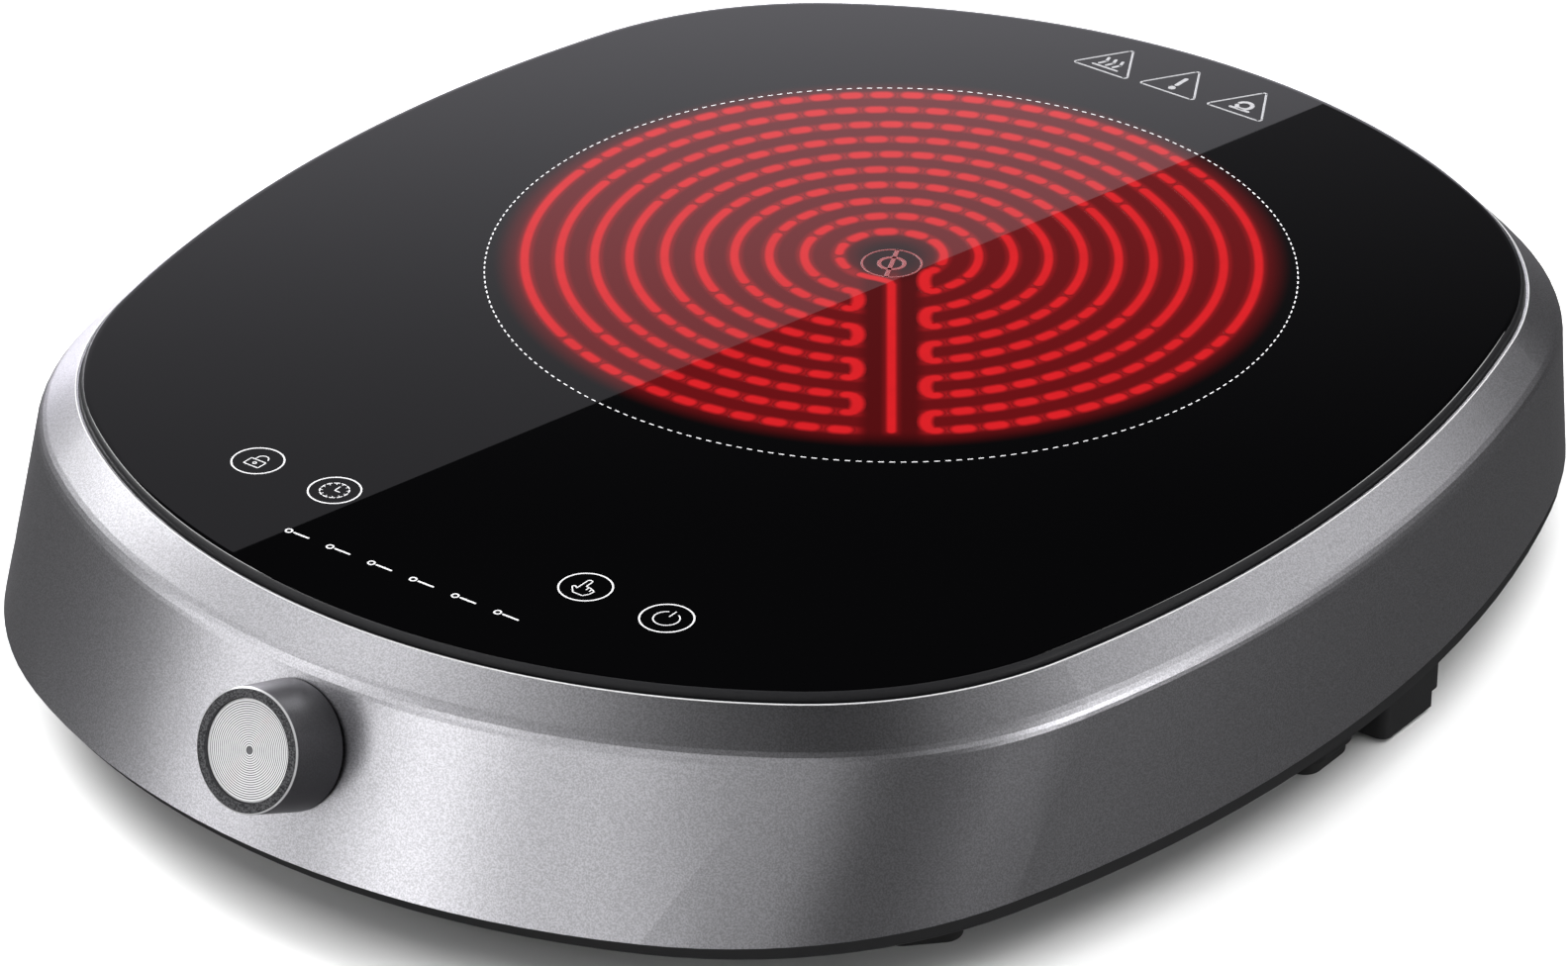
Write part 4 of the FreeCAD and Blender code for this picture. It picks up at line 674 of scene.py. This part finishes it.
def rear_marks():
    """Three rounded triangles, each with its own plain sign."""
    mark = Print(0.28)
    for n, x in enumerate(TRIANGLES_X):
        mark.place(x, TRIANGLES_Y, TRIANGLES_TURN)
        base, peak, corner = 8.4, 14.4, 0.9
        lean = 90 - math.degrees(math.atan2(peak, base))
        mark.line((-base + corner * 1.4, 0), (base - corner * 1.4, 0))
        for side in (-1, 1):
            mark.line((side * (base - corner * 0.8), corner * 1.3),
                      (side * corner * 0.6, peak - corner * 1.1))
            start, end = (-90, lean) if side == 1 else (180 - lean, 270)
            mark.arc(side * (base - corner * 1.4), corner * 0.75, corner * 0.75, start, end)
        mark.arc(0, peak - corner * 1.35, corner * 0.66, 20, 160)
        if n == 0:
            for offset in (-2.1, 0, 2.1):
                mark.line((offset - 0.4, 3.4), (offset + 0.4, 5.2), (offset - 0.2, 7.2), half=0.42)
            mark.line((-3.6, 2.2), (3.6, 2.2), half=0.36)
        elif n == 1:
            mark.line((0, 4.6), (0, 8.6), half=0.6)
            mark.ring(0, 2.6, 0.5, 0.48)
        else:
            mark.arc(0, 4.9, 1.9, 200, 520, 0.55)
            mark.line((-2.6, 2.5), (2.6, 2.5), half=0.45)
    return mark.finish("rear_marks", "grey_ink")


def centre_mark():
    mark = Print(0.24)
    mark.place(-0.4, 0.9)
    mark.ring(0, 0, 7.0, 0.26)
    mark.line((-2.9, 6.2), (2.9, -6.2), half=0.55)
    mark.ring(0, 0, 3.0, 0.5)
    return mark.finish("centre_mark", "red_ink")


# ---- Knob face ----------------------------------------------------------------------------------

def knob_face():
    """The spun disc in the knob's end, with its turned grooves cut as geometry."""
    side = Vector((1, 0, 0))
    up = KNOB_AXIS.cross(side)
    # Each ring of the disc: its radius, its height along the axis and 1 on a crest.
    profile = [(DISC_RADIUS, DISC_BACK, 1.0), (DISC_RADIUS, DISC_FRONT - DISC_BEVEL, 1.0),
               (DISC_RADIUS - DISC_BEVEL, DISC_FRONT, 1.0)]
    for n in range(int((DISC_RADIUS - 0.9 * MM) / GROOVE_PITCH)):
        for share, cut in ((0.0, 0.0), (0.35, 0.0), (0.6, 1.0), (0.75, 1.0)):
            r = DISC_RADIUS - 0.6 * MM - (n + share) * GROOVE_PITCH
            fall = DISC_DISH * (1 - (r / DISC_RADIUS) ** 2)
            profile.append((r, DISC_FRONT - fall - cut * GROOVE_DEPTH, 1.0 - cut))
    profile.append((0.3 * MM, DISC_FRONT - DISC_DISH - 0.15 * MM, 0.0))
    around = [2 * math.pi * n / DISC_SIDES for n in range(DISC_SIDES)]
    mesh = Mesh()
    rings = []
    for r, height, crest in profile:
        middle = KNOB_SEAT + KNOB_AXIS * height
        rings.append(mesh.add([middle + (side * math.cos(a) + up * math.sin(a)) * r for a in around], crest))
    for first, second in zip(rings, rings[1:]):
        mesh.band(first, second)
    mesh.face(rings[-1])
    mesh.face(reversed(rings[0]))
    return mesh.piece("knob_face", ["spun_face"], "knob", "spun_aluminium", replaces=["knob_disc"])


# ---- Camera, floor and lights -------------------------------------------------------------------

COOL_WHITE = (0.97, 0.955, 1.035)
AIM = Vector((CIRCLE.x, CIRCLE.y, TOP))
AZIMUTH, ELEVATION, ROLL = math.radians(36.850), math.radians(29.162), 0.00213848
CAMERA_OFFSET = Vector((0.0250100, -0.0509648, 1.5822296))     # left of, above and back from the aim
LENS = 155.355


def camera_axes():
    back = Vector((math.sin(AZIMUTH) * math.cos(ELEVATION), -math.cos(AZIMUTH) * math.cos(ELEVATION),
                   math.sin(ELEVATION)))
    right = Vector((math.cos(AZIMUTH), math.sin(AZIMUTH), 0))
    up = back.cross(right)
    cos, sin = math.cos(ROLL), math.sin(ROLL)
    return right * cos + up * sin, up * cos - right * sin, back


def make_camera():
    right, up, back = camera_axes()
    place = AIM - right * CAMERA_OFFSET.x + up * CAMERA_OFFSET.y + back * CAMERA_OFFSET.z
    data = bpy.data.cameras.new("camera")
    data.lens, data.sensor_width = LENS, 36.0
    data.clip_start, data.clip_end = 0.05, 50.0
    made = bpy.data.objects.new("camera", data)
    made.matrix_world = Matrix((right, up, back)).transposed().to_4x4()
    made.location = place
    bpy.context.scene.collection.objects.link(made)
    bpy.context.scene.camera = made
    return place


def make_floor():
    mesh = bpy.data.meshes.new("floor")
    size = 6.0
    corners = [(-size, -size, 0), (size, -size, 0), (size, size, 0), (-size, size, 0)]
    mesh.from_pydata(corners, [], [(0, 1, 2, 3)])
    floor = bpy.data.objects.new("floor", mesh)
    bpy.context.scene.collection.objects.link(floor)
    mesh.materials.append(grained("floor_card", (0.93, 0.93, 0.93), 0.0, 0.9, 60.0, 0.01).material)
    floor.visible_glossy = False


def area(name, towards, distance, size, power, **seen):
    """A square softbox that stands in a given direction and faces the hot plate."""
    data = bpy.data.lights.new(name, "AREA")
    data.shape, data.size, data.energy = "SQUARE", size, power
    made = bpy.data.objects.new(name, data)
    way = Vector(towards).normalized()
    made.location = LIGHT_TARGET + way * distance
    made.rotation_euler = way.to_track_quat("Z", "Y").to_euler()
    made.visible_camera = False
    for key, value in seen.items():
        setattr(made, "visible_" + key, value)
    bpy.context.scene.collection.objects.link(made)
    return made


def reflector(name, eye, first, second, sign, tones):
    """A card whose reflection in the glass ends along the line from first to second on the glass.

    Its brightness is tones[0] at the first point's height, and tones[1] more at the second's."""
    mirrored = Vector((eye.x, eye.y, 2 * GLASS_FACE - eye.z))
    middle = (Vector(first) + Vector(second)) / 2
    way = (middle - mirrored).normalized()
    plane = middle + way * PANEL_DISTANCE

    def cast(point):
        ray = Vector(point) - mirrored
        return mirrored + ray * ((plane - mirrored).dot(way) / ray.dot(way))

    a, b = cast(first), cast(second)
    along = (b - a).normalized()
    aside = way.cross(along).normalized() * sign
    start, end = a - along * PANEL_SPARE, b + along * PANEL_SPARE
    corners = [start, end, end + aside * PANEL_REACH, start + aside * PANEL_REACH]
    mesh = bpy.data.meshes.new(name)
    mesh.from_pydata([tuple(corner) for corner in corners], [], [(0, 1, 2, 3)])
    made = bpy.data.objects.new(name, mesh)
    bpy.context.scene.collection.objects.link(made)
    graph = Graph(name)
    parts = graph.node("ShaderNodeSeparateXYZ")
    graph.plug(graph.coords, parts.inputs[0])
    rise = graph.math("DIVIDE", graph.math("SUBTRACT", parts.outputs[2], a.z), b.z - a.z)
    rise = graph.math("POWER", graph.math("MAXIMUM", rise, 0.0), 2.0)
    graph.set(Base_Color=(0.0, 0.0, 0.0), Roughness=1.0, Specular_IOR_Level=0.0, Emission_Color=COOL_WHITE)
    graph.plug(graph.math("ADD", graph.math("MULTIPLY", rise, tones[1]), tones[0]),
               graph.shader.inputs["Emission Strength"])
    mesh.materials.append(graph.material)
    made.visible_camera = made.visible_diffuse = made.visible_shadow = False
    return made


# Each softbox: the direction it stands in from the hot plate, its distance, its side and its power.
SOFTBOXES = [
    ((-0.62, -0.78, 0.05), 1.3, 0.35, 1.0), ((-0.20, -0.97, 0.06), 1.3, 0.35, 1.35),
    ((0.25, -0.96, 0.10), 1.3, 0.35, 0.52), ((0.05, -0.98, 0.15), 1.4, 0.40, 0.32),
    ((0.59, -0.78, 0.10), 1.4, 0.55, 0.48), ((0.98, 0.15, 0.10), 1.4, 0.55, 3.7),
    ((-0.75, -0.60, 0.30), 1.4, 0.50, 1.2), ((-0.52, -0.40, 0.75), 1.4, 0.50, 0.50),
    ((-0.40, -0.45, 0.80), 1.4, 0.35, 0.75), ((-0.15, -0.55, 0.82), 1.4, 0.40, 0.28),
    ((-0.80, 0.05, 0.60), 1.4, 0.60, 15.0), ((0.42, 0.70, 0.58), 1.4, 0.60, 1.2),
    ((0.80, 0.35, 0.48), 1.4, 0.60, 1.95), ((0.62, 0.05, 0.78), 1.4, 0.50, 0.23),
    ((-0.05, 0.75, 0.66), 1.4, 0.50, 4.5),
    # These five light the rounded crease between the wall and the shoulder.
    ((-0.50, -0.72, 0.48), 1.4, 0.30, 1.15), ((-0.15, -0.86, 0.46), 1.4, 0.30, 1.0),
    ((0.22, -0.84, 0.47), 1.4, 0.30, 0.50), ((0.50, -0.70, 0.47), 1.4, 0.30, 0.30),
    ((0.85, -0.25, 0.45), 1.4, 0.30, 0.3),
]
LIGHT_TARGET = Vector((0, 0, 0.03))
SHADE_BELOW = 0.082              # the studio's brightness below the horizon
PANEL_DISTANCE = 1.5             # from the glass to a reflected panel, along the mirrored view
PANEL_REACH = 1.2                # a panel's width, away from the line where its image ends
PANEL_SPARE = 0.5                # its length beyond each end of that line


def make_lights(eye):
    world = bpy.data.worlds.new("studio")
    world.use_nodes = True
    bpy.context.scene.world = world
    tree = world.node_tree
    where = tree.nodes.new("ShaderNodeTexCoord").outputs["Generated"]
    parts = tree.nodes.new("ShaderNodeSeparateXYZ")
    tree.links.new(where, parts.inputs[0])
    ramp = tree.nodes.new("ShaderNodeMapRange")
    tree.links.new(parts.outputs[2], ramp.inputs[0])
    for number, value in enumerate((-0.05, 0.05, SHADE_BELOW, 0.0), 1):
        ramp.inputs[number].default_value = value
    tree.links.new(ramp.outputs[0], tree.nodes["Background"].inputs["Strength"])
    tree.nodes["Background"].inputs["Color"].default_value = (1.0, 1.0, 1.0, 1.0)
    for number, (towards, distance, size, power) in enumerate(SOFTBOXES, 1):
        area(f"softbox_{number}", towards, distance, size, power)
    area("overhead", (0, 0, 1), 2.2, 4.0, 150, glossy=False)
    # The large panel's mirror image ends along a slanting line on the glass.
    first = (CIRCLE.x - 33.8 * MM, CIRCLE.y - 195.2 * MM, GLASS_FACE)
    second = (CIRCLE.x + 33.8 * MM, CIRCLE.y + 134.8 * MM, GLASS_FACE)
    reflector("panel_left", eye, first, second, 1, (0.25, 0.47))
    reflector("panel_right", eye, first, second, -1, (0.016, 0.11))


# ---- Put together -------------------------------------------------------------------------------

bpy.context.scene.view_settings.view_transform = "Standard"
paint_nodes()
glass_plate()
lip_bead()
glow_dashes()
cooking_circle()
touch_keys()
setting_marks()
rear_marks()
centre_mark()
knob_face()
make_floor()
make_lights(make_camera())
